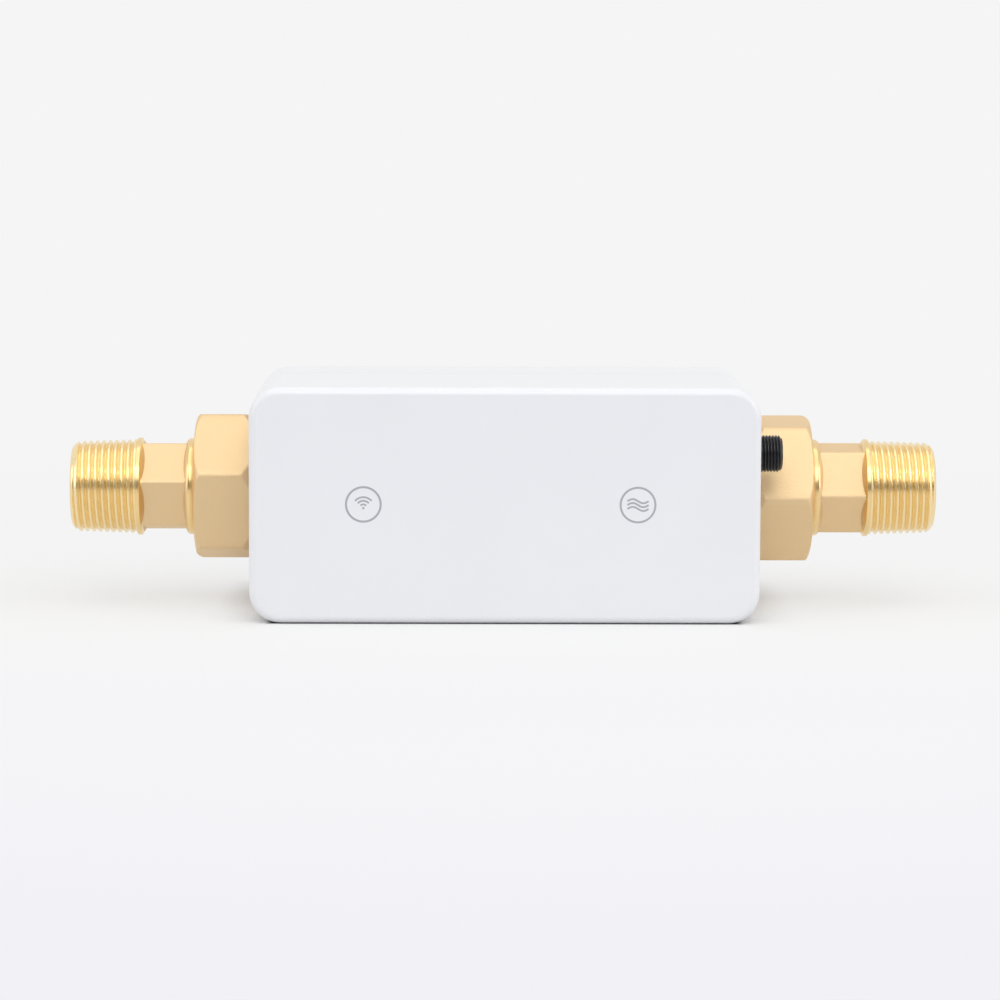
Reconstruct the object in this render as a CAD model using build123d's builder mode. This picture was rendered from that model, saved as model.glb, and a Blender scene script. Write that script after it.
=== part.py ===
from build123d import *
from math import atan, atan2, cos, degrees, pi, radians, sin, sqrt
import os

os.makedirs("parts", exist_ok=True)

# All lengths are millimetres. X runs along the pipe from inlet to outlet, Y from the front face to
# the back, Z upward. The origin is under the middle of the housing, on the surface it stands on.

# Housing
housing_width = 138.0
housing_height = 64.0
housing_depth = 72.0
wall = 2.4
corner_radius = 8.5
front_edge_radius = 2.2
back_edge_radius = 1.6
lap_depth = 2.6
lap_thickness = 1.1
seam_gap = 0.35
fit_gap = 0.05
loose_gap = 0.3
cut_overrun = 1.0
rib_thickness = 2.0
shell_rib_height = 2.0
shell_rib_x = 25.0
saddle_depth = 4.0

# Pipe line through the housing
pipe_to_front = 47.0
seat_land_radius = 17.2
tube_radius = 15.0
meter_bore_radius = 11.0
waterway_radius = 9.0
outlet_bore_radius = 9.5

# Union connections
spigot_radius = 16.6
spigot_stand_out = 9.5
spigot_shoulder_stand_out = 1.2
spigot_chamfer = 1.0
nut_stand_off = 2.2
nut_length = 14.9
nut_across_flats = 38.0
nut_shoulder = 2.4
nut_neck_gap = 0.95
nut_nose_length = 3.1
nut_nose_radius = 16.6
nut_inner_chamfer = 2.0
thread_gap = 0.08
gasket_thickness = 2.0
gasket_width = 4.0
flange_radius = 14.9
neck_radius = 12.9
neck_stand_out = 1.9
tail_bore_radius = 10.0
tail_hex_across_flats = 23.0
tail_hex_length = 12.3
tail_root_radius = 11.3
tail_neck_cone = 1.6
tail_collar_cone = 1.4
tail_collar_width = 2.1
tail_collar_radius = 13.65
tail_thread_length = 18.2
tail_thread_radius = 13.1
tail_end_chamfer = 1.2
inlet_nut_turn = 15.0
outlet_nut_turn = -2.3
inlet_tail_turn = 11.1
outlet_tail_turn = -5.6

# Ball valve
ball_x = 27.0
ball_radius = 15.0
ball_gap = 0.1
seat_outer_radius = 13.5
seat_thickness = 5.5
seat_back = 14.0
chamber_bore_radius = 16.0
chamber_radius = 20.5
chamber_length = 18.0
chamber_back_wall = 8.0
chamber_edge_radius = 2.5
throat_taper = 3.0
square_flange_size = 34.0
square_flange_corner = 3.0
square_flange_thickness = 8.0
square_flange_inset = 4.6
end_hex_across_flats = 36.0
end_hex_length = 6.0
body_seal_width = 1.5
body_seal_thickness = 1.4
pad_size = 28.0
pad_corner = 4.0
pad_height = 4.5
stem_radius = 5.0
stem_collar_radius = 7.0
stem_collar_thickness = 2.2
stem_drive_radius = 4.0
stem_drive_flats = 5.6
stem_ring_thickness = 1.5
stem_ring_pitch = 2.9
tang_width = 5.0
tang_length = 11.0
tang_depth = 4.0
gear_screw_radius = 1.25
gear_screw_length = 8.0
gear_screw_head_radius = 2.9
gear_screw_head_height = 2.0

# Flow turbine in the inlet half of the body
turbine_start_x = -58.0
guide_length = 10.0
guide_ring_thickness = 0.8
guide_hub_radius = 3.5
guide_vane_thickness = 1.0
guide_vanes = 4
guide_nose_length = 2.4
turbine_gap = 1.5
rotor_length = 12.0
rotor_tip_radius = 10.5
rotor_blades = 5
rotor_blade_thickness = 1.0
rotor_twist = 50.0
turbine_shaft_radius = 0.75
turbine_bearing_depth = 4.0
ring_magnet_radius = 2.5
ring_magnet_length = 6.0
snap_ring_width = 1.2
snap_ring_depth = 0.8
snap_ring_opening = 14.0

# Actuator case
case_floor = 2.0
case_wall = 1.6
case_lid = 1.4
gear_side_clearance = 1.2
layer_gap = 0.5
case_screw_radius = 1.1
case_screw_head_radius = 2.2
case_lug_radius = 3.4
case_lug_directions = (45.0, -45.0, 250.0, 180.0)
case_screw_length = 12.0
pad_screw_radius = 1.5
pad_screw_head_radius = 2.8
pad_screw_spread = 20.0
pad_screw_length = 9.0

# Gear train, in modules, teeth and face widths
pressure_angle = 25.0
addendum_share = 1.0
dedendum_share = 1.25
backlash_share = 0.12
flank_chords = 3
centre_extra = 0.05
pinion_teeth = 12
output_module = 0.9
output_teeth = 40
output_face = 5.0
second_module = 0.7
second_teeth = 48
second_face = 3.0
first_module = 0.45
first_teeth = 54
first_face = 2.4
second_direction = 187.0
first_direction = 150.0
motor_direction = 57.0
second_pin_radius = 1.5
first_pin_radius = 1.0
gear_hub_wall = 1.6
gear_web_recess = 1.0
gear_rim = 2.6
output_hub_radius = 7.0
position_magnet_radius = 2.0
position_magnet_thickness = 1.8
position_magnet_reach = 13.5

# Motor
motor_radius = 10.2
motor_flats = 15.4
motor_length = 18.0
motor_can_wall = 0.8
motor_cap_thickness = 2.0
motor_shaft_radius = 1.0
motor_boss_radius = 3.0
motor_boss_height = 1.2
motor_pocket_gap = 0.15
motor_pocket_wall = 1.2
motor_magnet_thickness = 1.0
motor_magnet_arc = 110.0
armature_radius = 5.4
armature_length = 9.0
armature_slot_width = 1.6
commutator_radius = 2.2
motor_screw_radius = 0.9
motor_screw_head_radius = 1.7
motor_screw_head_height = 1.0
motor_screw_spread = 12.0
motor_screw_length = 3.0

# Circuit boards
board_thickness = 1.6
thin_board_thickness = 1.0
main_board_width = 26.0
main_board_height = 42.0
main_board_x = -51.0
main_board_to_pipe = 23.0
main_board_screw_inset = 2.7
board_screw_radius = 0.9
board_screw_head_radius = 1.8
board_screw_length = 7.0
board_post_radius = 2.6
radio_width = 18.0
radio_height = 16.0
radio_thickness = 3.0
capacitor_radius = 4.0
capacitor_height = 11.0
terminal_width = 8.0
terminal_height = 6.0
terminal_thickness = 6.5
touch_board_width = 90.0
touch_board_height = 13.0
touch_board_gap = 1.6
left_icon_x = -38.1
right_icon_x = 35.5
icon_raise = 0.5
touch_pad_radius = 4.9
led_width = 2.0
led_height = 1.2
led_thickness = 0.8
stake_radius = 1.1
stake_pitch_x = 45.0
stake_pitch_z = 8.0
flow_board_width = 16.0
flow_board_height = 10.0
flow_pad_height = 1.0
hall_size = 4.0
hall_thickness = 1.5
position_board_width = 8.0
position_board_height = 26.0

# Power connector on the outlet end wall
connector_to_pipe_front = 30.0
connector_to_pipe_up = 12.7
connector_radius = 4.9
connector_stand_out = 6.8
connector_flange_radius = 6.4
connector_flange_thickness = 0.8
connector_seal_thickness = 0.5
connector_sleeve_inside = 3.2
connector_barrel_radius = 4.2
connector_barrel_length = 7.0
connector_cavity_radius = 3.6
connector_cavity_depth = 5.5
connector_key_width = 0.9
connector_nut_across_flats = 13.0
connector_nut_thickness = 2.0
connector_groove_depth = 0.4
connector_groove_width = 0.5
contact_radius = 0.5
contact_circle_radius = 1.8
contact_tail_length = 2.5
contact_recess = 1.2
contact_count = 4

# Housing fasteners and end grommets
grommet_thickness = 1.8
grommet_lip = 1.4
grommet_lip_thickness = 0.9
boss_radius = 3.6
boss_wall_gap = 0.3
housing_screw_radius = 1.45
housing_screw_head_radius = 2.8
housing_screw_head_height = 2.0
housing_screw_length = 13.0
housing_screw_seat = 4.0

# Internal leads
lead_radius = 0.8
lead_bend_radius = 3.0
lead_pitch = 2.4
motor_lead_spread = 8.0
motor_lead_behind = 4.0
motor_lead_drop = 2.0
motor_lead_board_offset = 7.0
header_pin_radius = 0.4
header_pitch = 2.54
header_slot_gap = 0.8
header_edge = 1.5
ribbon_width = 8.0
ribbon_thickness = 0.4
ribbon_inset = 2.0

# Places that follow from the sizes above
front_y = -housing_depth / 2
back_y = housing_depth / 2
end_x = housing_width / 2
pipe_y = front_y + pipe_to_front
pipe_z = housing_height / 2
spigot_end_x = end_x + spigot_stand_out
spigot_shoulder_x = end_x + spigot_shoulder_stand_out
nut_inner_x = end_x + nut_stand_off
nut_outer_x = nut_inner_x + nut_length
flange_x = spigot_end_x + gasket_thickness
nut_shoulder_x = nut_outer_x - nut_shoulder
neck_end_x = nut_outer_x + neck_stand_out
tail_collar_x = neck_end_x + tail_hex_length
tail_thread_x = tail_collar_x + tail_collar_width
tail_end_x = tail_thread_x + tail_thread_length
square_flange_x = end_x - wall - square_flange_inset
grommet_radius = seat_land_radius + grommet_thickness

pipe_axis = Axis((0, pipe_y, pipe_z), (1, 0, 0))
pipe_section = Plane(origin=(0, pipe_y, pipe_z), x_dir=(1, 0, 0), z_dir=(0, -1, 0))
stem_axis = Axis((ball_x, 0, pipe_z), (0, 1, 0))
stem_section = Plane(origin=(ball_x, 0, pipe_z), x_dir=(1, 0, 0), z_dir=(0, 0, 1))


def facing_front(y):
    """Plane at depth y, seen from the front: local x is X, local y is Z, and it grows forward."""
    return Plane.XZ.offset(-y)


def across_pipe(x):
    """Plane across the pipe at x: local x is Y, local y is Z, and it grows toward the outlet."""
    return Plane(origin=(x, pipe_y, pipe_z), x_dir=(0, 1, 0), z_dir=(1, 0, 0))


def keep(piece, name):
    """Label a finished sub-part and write its STEP file."""
    piece.part.label = name
    export_step(piece.part, f"parts/{name}.step")


def turned_along_y(places, outline):
    """Solids of revolution about lines along Y at each (x, z), from (radius, y) corners."""
    with BuildPart() as turned:
        for x, z in places:
            with BuildSketch(Plane(origin=(x, 0, z), x_dir=(1, 0, 0), z_dir=(0, 0, 1))):
                Polygon(*outline, align=None)
            revolve(axis=Axis((x, 0, z), (0, 1, 0)))
    return turned


def housing_block(inset):
    """The housing's rounded block, drawn in by inset on every side."""
    with BuildPart() as block:
        with BuildSketch(facing_front(back_y - inset)):
            with Locations((0, pipe_z)):
                RectangleRounded(
                    housing_width - 2 * inset,
                    housing_height - 2 * inset,
                    corner_radius - inset,
                )
        extrude(amount=housing_depth - 2 * inset)
        if inset < front_edge_radius:
            fillet(block.faces().sort_by(Axis.Y)[0].edges(), front_edge_radius - inset)
        if inset < back_edge_radius:
            fillet(block.faces().sort_by(Axis.Y)[-1].edges(), back_edge_radius - inset)
    return block.part


def rounded_ring(outer_inset, inner_inset, y, length):
    """A ring that follows the housing wall between two insets, from y forward."""
    with BuildPart() as ring:
        for inset, mode in ((outer_inset, Mode.ADD), (inner_inset, Mode.SUBTRACT)):
            with BuildSketch(facing_front(y)):
                with Locations((0, pipe_z)):
                    RectangleRounded(
                        housing_width - 2 * inset,
                        housing_height - 2 * inset,
                        corner_radius - inset,
                    )
            extrude(amount=length, mode=mode)
    return ring.part


# Housing bosses: one column in each corner takes a long screw from the back.
boss_inset = wall + boss_wall_gap + boss_radius
boss_places = [
    (side * (end_x - boss_inset), pipe_z + rise * (pipe_z - boss_inset))
    for side in (-1, 1)
    for rise in (-1, 1)
]
board_back_y = pipe_y - main_board_to_pipe
board_front_y = board_back_y - board_thickness
board_screw_places = [
    (
        main_board_x + side * (main_board_width / 2 - main_board_screw_inset),
        pipe_z + rise * (main_board_height / 2 - main_board_screw_inset),
    )
    for side in (-1, 1)
    for rise in (-1, 1)
]
touch_board_front_y = front_y + wall + touch_board_gap
stake_places = [
    (side * stake_pitch_x / 2, pipe_z + rise * stake_pitch_z / 2)
    for side in (-1, 1)
    for rise in (-1, 1)
]
connector_y = pipe_y - connector_to_pipe_front
connector_z = pipe_z + connector_to_pipe_up
connector_flange_x = end_x - connector_flange_thickness
connector_seat_x = connector_flange_x - connector_seal_thickness
front_inner_y = front_y + wall
back_inner_y = back_y - wall


def make_front_cover():
    """Deep front shell: face, walls, ribs, rebated rim, screw columns, board posts and stakes."""
    with BuildPart() as cover:
        add(housing_block(0))
        add(housing_block(wall), mode=Mode.SUBTRACT)
        split(bisect_by=facing_front(pipe_y), keep=Keep.TOP)
        with BuildSketch(facing_front(pipe_y)):
            with Locations(*boss_places):
                Circle(boss_radius)
        extrude(amount=pipe_y - front_inner_y)
        with BuildSketch(facing_front(pipe_y)):
            for x in (-2 * shell_rib_x, -shell_rib_x, shell_rib_x, 2 * shell_rib_x):
                for z in (wall, housing_height - wall):
                    with Locations((x, z)):
                        Rectangle(rib_thickness, 2 * shell_rib_height)
        extrude(amount=pipe_y - front_inner_y)
        for side in (-1, 1):
            inner_x = square_flange_x - square_flange_thickness - fit_gap
            with BuildSketch(across_pipe(min(side * inner_x, side * (inner_x - rib_thickness)))):
                with Locations((-tube_radius - saddle_depth, 0)):
                    Rectangle(
                        tube_radius + saddle_depth,
                        housing_height - 2 * wall,
                        align=(Align.MIN, Align.CENTER),
                    )
                Circle(tube_radius + fit_gap, mode=Mode.SUBTRACT)
            extrude(amount=rib_thickness)
        add(
            rounded_ring(wall - lap_thickness, wall + loose_gap, pipe_y, lap_depth),
            mode=Mode.SUBTRACT,
        )
        with BuildSketch(facing_front(pipe_y)):
            with Locations(*boss_places):
                Circle(housing_screw_radius + fit_gap)
        extrude(amount=housing_screw_length, mode=Mode.SUBTRACT)
        with BuildSketch(facing_front(board_front_y)):
            with Locations(*board_screw_places):
                Circle(board_post_radius)
        extrude(amount=board_front_y - front_inner_y)
        with BuildSketch(facing_front(board_front_y)):
            with Locations(*board_screw_places):
                Circle(board_screw_radius + fit_gap)
        extrude(amount=board_screw_length, mode=Mode.SUBTRACT)
        with BuildSketch(facing_front(touch_board_front_y + thin_board_thickness)):
            with Locations(*stake_places):
                Circle(stake_radius)
        extrude(amount=touch_board_gap + thin_board_thickness)
        for start in (-end_x - cut_overrun, end_x - wall - cut_overrun):
            with BuildSketch(across_pipe(start)):
                Circle(grommet_radius)
            extrude(amount=wall + 2 * cut_overrun, mode=Mode.SUBTRACT)
        with BuildSketch(across_pipe(end_x - wall - cut_overrun)):
            with Locations((-connector_to_pipe_front, connector_to_pipe_up)):
                Circle(connector_radius + fit_gap)
        extrude(amount=wall + 2 * cut_overrun, mode=Mode.SUBTRACT)
        with BuildSketch(across_pipe(connector_seat_x)):
            with Locations((-connector_to_pipe_front, connector_to_pipe_up)):
                Circle(connector_flange_radius + fit_gap)
        extrude(amount=wall, mode=Mode.SUBTRACT)
    keep(cover, "front_cover")


def make_rear_cover():
    """Back shell: tongue for the lap joint, screw columns and the saddles that carry the body."""
    with BuildPart() as cover:
        add(housing_block(0))
        add(housing_block(wall), mode=Mode.SUBTRACT)
        split(bisect_by=facing_front(pipe_y), keep=Keep.BOTTOM)
        add(
            rounded_ring(
                wall - lap_thickness + fit_gap, wall, pipe_y + wall, wall + lap_depth / 2
            )
        )
        add(
            rounded_ring(-cut_overrun, seam_gap, pipe_y + seam_gap, seam_gap + cut_overrun),
            mode=Mode.SUBTRACT,
        )
        with BuildSketch(facing_front(back_inner_y)):
            with Locations(*boss_places):
                Circle(boss_radius)
        extrude(amount=back_inner_y - pipe_y)
        for side in (-1, 1):
            for x in (square_flange_x - square_flange_thickness, square_flange_x + rib_thickness):
                edge = side * (x - fit_gap * (1 if x < square_flange_x else -1))
                with BuildSketch(across_pipe(min(edge, edge - side * rib_thickness))):
                    with Locations(((back_inner_y - pipe_y) / 2, 0)):
                        Rectangle(back_inner_y - pipe_y, housing_height - 2 * wall)
                extrude(amount=rib_thickness)
        with BuildSketch(across_pipe(-square_flange_x + fit_gap)):
            with Locations((square_flange_size / 2 + fit_gap, 0)):
                Rectangle(
                    back_inner_y - pipe_y - square_flange_size / 2 - fit_gap,
                    square_flange_size / 2,
                    align=(Align.MIN, Align.CENTER),
                )
        extrude(amount=square_flange_thickness - 2 * fit_gap)
        with BuildSketch(across_pipe(square_flange_x - square_flange_thickness + fit_gap)):
            with Locations((square_flange_size / 2 + fit_gap, 0)):
                Rectangle(
                    back_inner_y - pipe_y - square_flange_size / 2 - fit_gap,
                    square_flange_size / 2,
                    align=(Align.MIN, Align.CENTER),
                )
        extrude(amount=square_flange_thickness - 2 * fit_gap)
        with BuildSketch(across_pipe(-end_x - cut_overrun)):
            Circle(tube_radius + fit_gap)
        extrude(amount=housing_width + 2 * cut_overrun, mode=Mode.SUBTRACT)
        for start in (-end_x - cut_overrun, square_flange_x):
            with BuildSketch(across_pipe(start)):
                Circle(seat_land_radius + fit_gap)
            extrude(amount=end_x + cut_overrun - square_flange_x, mode=Mode.SUBTRACT)
        for start in (-end_x - cut_overrun, end_x - wall):
            with BuildSketch(across_pipe(start)):
                Circle(grommet_radius)
            extrude(amount=wall + cut_overrun, mode=Mode.SUBTRACT)
        with BuildSketch(facing_front(back_y + cut_overrun)):
            with Locations(*boss_places):
                Circle(housing_screw_radius + fit_gap)
        extrude(amount=back_y + 2 * cut_overrun - pipe_y, mode=Mode.SUBTRACT)
        with BuildSketch(facing_front(back_y + cut_overrun)):
            with Locations(*boss_places):
                Circle(housing_screw_head_radius + loose_gap)
        extrude(amount=back_y + cut_overrun - pipe_y - housing_screw_seat, mode=Mode.SUBTRACT)
    keep(cover, "rear_cover")


def make_cover_seal():
    """Cord of rubber in the lap joint, in an upper and a lower run between the grommets."""
    with BuildPart() as seal:
        tongue_end_y = pipe_y - lap_depth / 2
        add(
            rounded_ring(
                wall - lap_thickness + fit_gap,
                wall,
                tongue_end_y - fit_gap,
                lap_depth / 2 - 2 * fit_gap,
            )
        )
        with BuildSketch(across_pipe(-end_x - cut_overrun)):
            Circle(grommet_radius + fit_gap)
        extrude(amount=housing_width + 2 * cut_overrun, mode=Mode.SUBTRACT)
    keep(seal, "cover_seal")


def make_cover_screws():
    """Four long thread-forming screws that pull the two shells together from the back."""
    seat_y = pipe_y + housing_screw_seat
    screws = turned_along_y(
        boss_places,
        [
            (0, seat_y + housing_screw_head_height),
            (housing_screw_head_radius, seat_y + housing_screw_head_height),
            (housing_screw_head_radius, seat_y),
            (housing_screw_radius, seat_y),
            (housing_screw_radius, seat_y - housing_screw_length),
            (0, seat_y - housing_screw_length),
        ],
    )
    keep(screws, "cover_screws")


def make_grommet(side, name):
    """Rubber ring round the body where it passes the end wall, lipped inside and outside."""
    lip_radius = grommet_radius + grommet_lip
    inner_x = end_x - wall
    with BuildPart() as grommet:
        with BuildSketch(pipe_section):
            Polygon(
                (side * (inner_x - grommet_lip_thickness), seat_land_radius + fit_gap),
                (side * (inner_x - grommet_lip_thickness), lip_radius),
                (side * (inner_x - fit_gap), lip_radius),
                (side * (inner_x - fit_gap), grommet_radius - fit_gap),
                (side * (end_x + fit_gap), grommet_radius - fit_gap),
                (side * (end_x + fit_gap), lip_radius),
                (side * (end_x + grommet_lip_thickness), lip_radius),
                (side * (end_x + grommet_lip_thickness), seat_land_radius + fit_gap),
                align=None,
            )
        revolve(axis=pipe_axis)
    keep(grommet, name)


make_front_cover()
make_rear_cover()
make_cover_seal()
make_cover_screws()
make_grommet(-1, "inlet_grommet")
make_grommet(1, "outlet_grommet")

# Valve body and its end piece share these places along the pipe.
stem_pad_y = pipe_y - chamber_radius - pad_height
seat_back_x = ball_x - seat_back
seat_front_x = seat_back_x + seat_thickness
chamber_start_x = seat_front_x - fit_gap
chamber_end_x = ball_x + chamber_length
throat_x = turbine_start_x + 2 * guide_length + rotor_length + 2 * turbine_gap
end_seat_back_x = ball_x + seat_back
end_seat_front_x = end_seat_back_x - seat_thickness
stem_collar_y = pipe_y - chamber_bore_radius - loose_gap
stem_collar_top_y = stem_collar_y - stem_collar_thickness
flow_pad_y = pipe_y - tube_radius - flow_pad_height
flow_pad_x = turbine_start_x + guide_length + turbine_gap + rotor_length / 2
snap_ring_x = turbine_start_x - snap_ring_width - fit_gap
pad_screw_places = [
    (ball_x + side * pad_screw_spread / 2, pipe_z + rise * pad_screw_spread / 2)
    for side in (-1, 1)
    for rise in (-1, 1)
]


def make_valve_body():
    """Brass casting: inlet spigot, meter tube with its cartridge bore, ball chamber, stem pad."""
    with BuildPart() as body:
        with BuildSketch(pipe_section):
            Polygon(
                (-spigot_end_x, 0),
                (-spigot_end_x, spigot_radius - spigot_chamfer),
                (-spigot_end_x + spigot_chamfer, spigot_radius),
                (-spigot_shoulder_x, spigot_radius),
                (-spigot_shoulder_x, seat_land_radius),
                (-square_flange_x, seat_land_radius),
                (-square_flange_x, tube_radius),
                (seat_back_x - chamber_back_wall, tube_radius),
                (seat_back_x - chamber_back_wall, chamber_radius),
                (chamber_end_x, chamber_radius),
                (chamber_end_x, 0),
                align=None,
            )
        revolve(axis=pipe_axis)
        chamber_rim = body.edges().filter_by(GeomType.CIRCLE).group_by(SortBy.RADIUS)[-1]
        fillet(chamber_rim, chamber_edge_radius)
        with BuildSketch(across_pipe(-square_flange_x)):
            RectangleRounded(square_flange_size, square_flange_size, square_flange_corner)
        extrude(amount=square_flange_thickness)
        with BuildSketch(facing_front(pipe_y - tube_radius)):
            with Locations((ball_x, pipe_z)):
                RectangleRounded(pad_size, pad_size, pad_corner)
        extrude(amount=pipe_y - tube_radius - stem_pad_y)
        with BuildSketch(facing_front(pipe_y - meter_bore_radius - wall)):
            with Locations((flow_pad_x, pipe_z)):
                Rectangle(flow_board_width, flow_board_height)
        extrude(amount=pipe_y - meter_bore_radius - wall - flow_pad_y)
        with BuildSketch(pipe_section):
            Polygon(
                (-spigot_end_x - cut_overrun, 0),
                (-spigot_end_x - cut_overrun, meter_bore_radius),
                (snap_ring_x, meter_bore_radius),
                (snap_ring_x, meter_bore_radius + snap_ring_depth),
                (snap_ring_x + snap_ring_width, meter_bore_radius + snap_ring_depth),
                (snap_ring_x + snap_ring_width, meter_bore_radius),
                (throat_x, meter_bore_radius),
                (throat_x + throat_taper, waterway_radius),
                (seat_back_x - fit_gap, waterway_radius),
                (seat_back_x - fit_gap, seat_outer_radius + fit_gap),
                (chamber_start_x, seat_outer_radius + fit_gap),
                (chamber_start_x, chamber_bore_radius),
                (chamber_end_x - body_seal_thickness, chamber_bore_radius),
                (chamber_end_x - body_seal_thickness, chamber_bore_radius + body_seal_width),
                (chamber_end_x + cut_overrun, chamber_bore_radius + body_seal_width),
                (chamber_end_x + cut_overrun, 0),
                align=None,
            )
        revolve(axis=pipe_axis, mode=Mode.SUBTRACT)
        with BuildSketch(stem_section):
            Polygon(
                (0, pipe_y),
                (stem_collar_radius + loose_gap, pipe_y),
                (stem_collar_radius + loose_gap, stem_collar_top_y - fit_gap),
                (stem_radius + fit_gap, stem_collar_top_y - fit_gap),
                (stem_radius + fit_gap, stem_pad_y - cut_overrun),
                (0, stem_pad_y - cut_overrun),
                align=None,
            )
        revolve(axis=stem_axis, mode=Mode.SUBTRACT)
        with BuildSketch(facing_front(stem_pad_y + pad_screw_length)):
            with Locations(*pad_screw_places):
                Circle(pad_screw_radius + fit_gap)
        extrude(amount=pad_screw_length + cut_overrun, mode=Mode.SUBTRACT)
    keep(body, "valve_body")


def make_outlet_end_piece():
    """Brass end piece screwed into the chamber: seat pocket, hex, square flange, outlet spigot."""
    with BuildPart() as end_piece:
        with BuildSketch(pipe_section):
            Polygon(
                (end_seat_front_x, 0),
                (end_seat_front_x, chamber_bore_radius - fit_gap),
                (chamber_end_x + fit_gap, chamber_bore_radius - fit_gap),
                (chamber_end_x + fit_gap, tube_radius),
                (square_flange_x, tube_radius),
                (square_flange_x, seat_land_radius),
                (spigot_shoulder_x, seat_land_radius),
                (spigot_shoulder_x, spigot_radius),
                (spigot_end_x - spigot_chamfer, spigot_radius),
                (spigot_end_x, spigot_radius - spigot_chamfer),
                (spigot_end_x, 0),
                align=None,
            )
        revolve(axis=pipe_axis)
        with BuildSketch(across_pipe(chamber_end_x + fit_gap)):
            RegularPolygon(end_hex_across_flats / 2, 6, major_radius=False)
        extrude(amount=end_hex_length)
        with BuildSketch(across_pipe(square_flange_x - square_flange_thickness)):
            RectangleRounded(square_flange_size, square_flange_size, square_flange_corner)
        extrude(amount=square_flange_thickness)
        with BuildSketch(pipe_section):
            Polygon(
                (end_seat_front_x - cut_overrun, 0),
                (end_seat_front_x - cut_overrun, seat_outer_radius + fit_gap),
                (end_seat_back_x + fit_gap, seat_outer_radius + fit_gap),
                (end_seat_back_x + fit_gap, waterway_radius),
                (end_x, outlet_bore_radius),
                (spigot_end_x + cut_overrun, outlet_bore_radius),
                (spigot_end_x + cut_overrun, 0),
                align=None,
            )
        revolve(axis=pipe_axis, mode=Mode.SUBTRACT)
    keep(end_piece, "outlet_end_piece")


def make_body_seal():
    """Rubber ring that seals the end piece against the mouth of the ball chamber."""
    with BuildPart() as seal:
        with BuildSketch(pipe_section):
            with Locations((chamber_end_x - body_seal_thickness / 2, chamber_bore_radius)):
                Rectangle(
                    body_seal_thickness - 2 * fit_gap,
                    body_seal_width - 2 * fit_gap,
                    align=(Align.CENTER, Align.MIN),
                )
        revolve(axis=pipe_axis)
    keep(seal, "body_seal")


def make_ball_seats():
    """Two plastic seat rings whose faces follow the ball."""
    with BuildPart() as seats:
        for start in (seat_back_x, end_seat_front_x):
            with BuildSketch(pipe_section):
                with Locations((start, waterway_radius)):
                    Rectangle(
                        seat_thickness,
                        seat_outer_radius - waterway_radius,
                        align=(Align.MIN, Align.MIN),
                    )
                with Locations((ball_x, 0)):
                    Circle(ball_radius + ball_gap, mode=Mode.SUBTRACT)
            revolve(axis=pipe_axis)
    keep(seats, "ball_seats")


def make_ball():
    """Plated ball with the waterway through it and the stem's slot in its front."""
    slot_y = pipe_y - ball_radius + tang_depth
    with BuildPart() as ball:
        with Locations((ball_x, pipe_y, pipe_z)):
            Sphere(ball_radius)
        with BuildSketch(across_pipe(ball_x - ball_radius)):
            Circle(waterway_radius)
        extrude(amount=2 * ball_radius, mode=Mode.SUBTRACT)
        with BuildSketch(facing_front(slot_y + fit_gap)):
            with Locations((ball_x, pipe_z)):
                Rectangle(2 * ball_radius, tang_width + 2 * fit_gap)
        extrude(amount=tang_depth + cut_overrun, mode=Mode.SUBTRACT)
    keep(ball, "ball")


ring_groove_radius = stem_radius - stem_ring_thickness
stem_top_y = stem_pad_y - case_floor - layer_gap - output_face + loose_gap
stem_ring_middles = [
    stem_collar_top_y - (turn + 1) * stem_ring_pitch + stem_ring_thickness / 2 for turn in (0, 1)
]


def make_stem():
    """Stem: tang in the ball, blow-out collar, two ring grooves, and a flatted drive end."""
    drive_y = stem_pad_y - case_floor
    with BuildPart() as stem:
        with BuildSketch(facing_front(pipe_y - ball_radius + tang_depth - fit_gap)):
            with Locations((ball_x, pipe_z)):
                Circle(tang_length / 2)
                Rectangle(tang_length, tang_width, mode=Mode.INTERSECT)
        extrude(amount=pipe_y - ball_radius + tang_depth - fit_gap - stem_collar_y)
        with BuildSketch(stem_section):
            Polygon(
                (0, stem_collar_y),
                (stem_collar_radius, stem_collar_y),
                (stem_collar_radius, stem_collar_top_y),
                (stem_radius, stem_collar_top_y),
                (stem_radius, drive_y),
                (stem_drive_radius, drive_y),
                (stem_drive_radius, stem_top_y),
                (0, stem_top_y),
                align=None,
            )
        revolve(axis=stem_axis)
        with BuildSketch(facing_front(drive_y)):
            with Locations((ball_x, pipe_z)):
                Circle(stem_radius)
                Rectangle(2 * stem_radius, stem_drive_flats, mode=Mode.SUBTRACT)
        extrude(amount=drive_y - stem_top_y, mode=Mode.SUBTRACT)
        for middle in stem_ring_middles:
            with BuildSketch(facing_front(middle + stem_ring_thickness / 2 + fit_gap)):
                with Locations((ball_x, pipe_z)):
                    Circle(stem_radius + fit_gap)
                    Circle(ring_groove_radius, mode=Mode.SUBTRACT)
            extrude(amount=stem_ring_thickness + 2 * fit_gap, mode=Mode.SUBTRACT)
        with BuildSketch(facing_front(stem_top_y + gear_screw_length)):
            with Locations((ball_x, pipe_z)):
                Circle(gear_screw_radius + fit_gap)
        extrude(amount=gear_screw_length + cut_overrun, mode=Mode.SUBTRACT)
    keep(stem, "stem")


def make_stem_rings():
    """Two rubber rings in the stem's grooves."""
    ring_radius = stem_ring_thickness / 2
    with BuildPart() as rings:
        for middle in stem_ring_middles:
            with BuildSketch(stem_section):
                with Locations((ring_groove_radius + ring_radius, middle)):
                    Circle(ring_radius - fit_gap / 2)
            revolve(axis=stem_axis)
    keep(rings, "stem_rings")


make_valve_body()
make_outlet_end_piece()
make_body_seal()
make_ball_seats()
make_ball()
make_stem()
make_stem_rings()

# Places of the turbine's pieces along the pipe
rotor_x = turbine_start_x + guide_length + turbine_gap
rear_guide_x = rotor_x + rotor_length + turbine_gap


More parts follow.
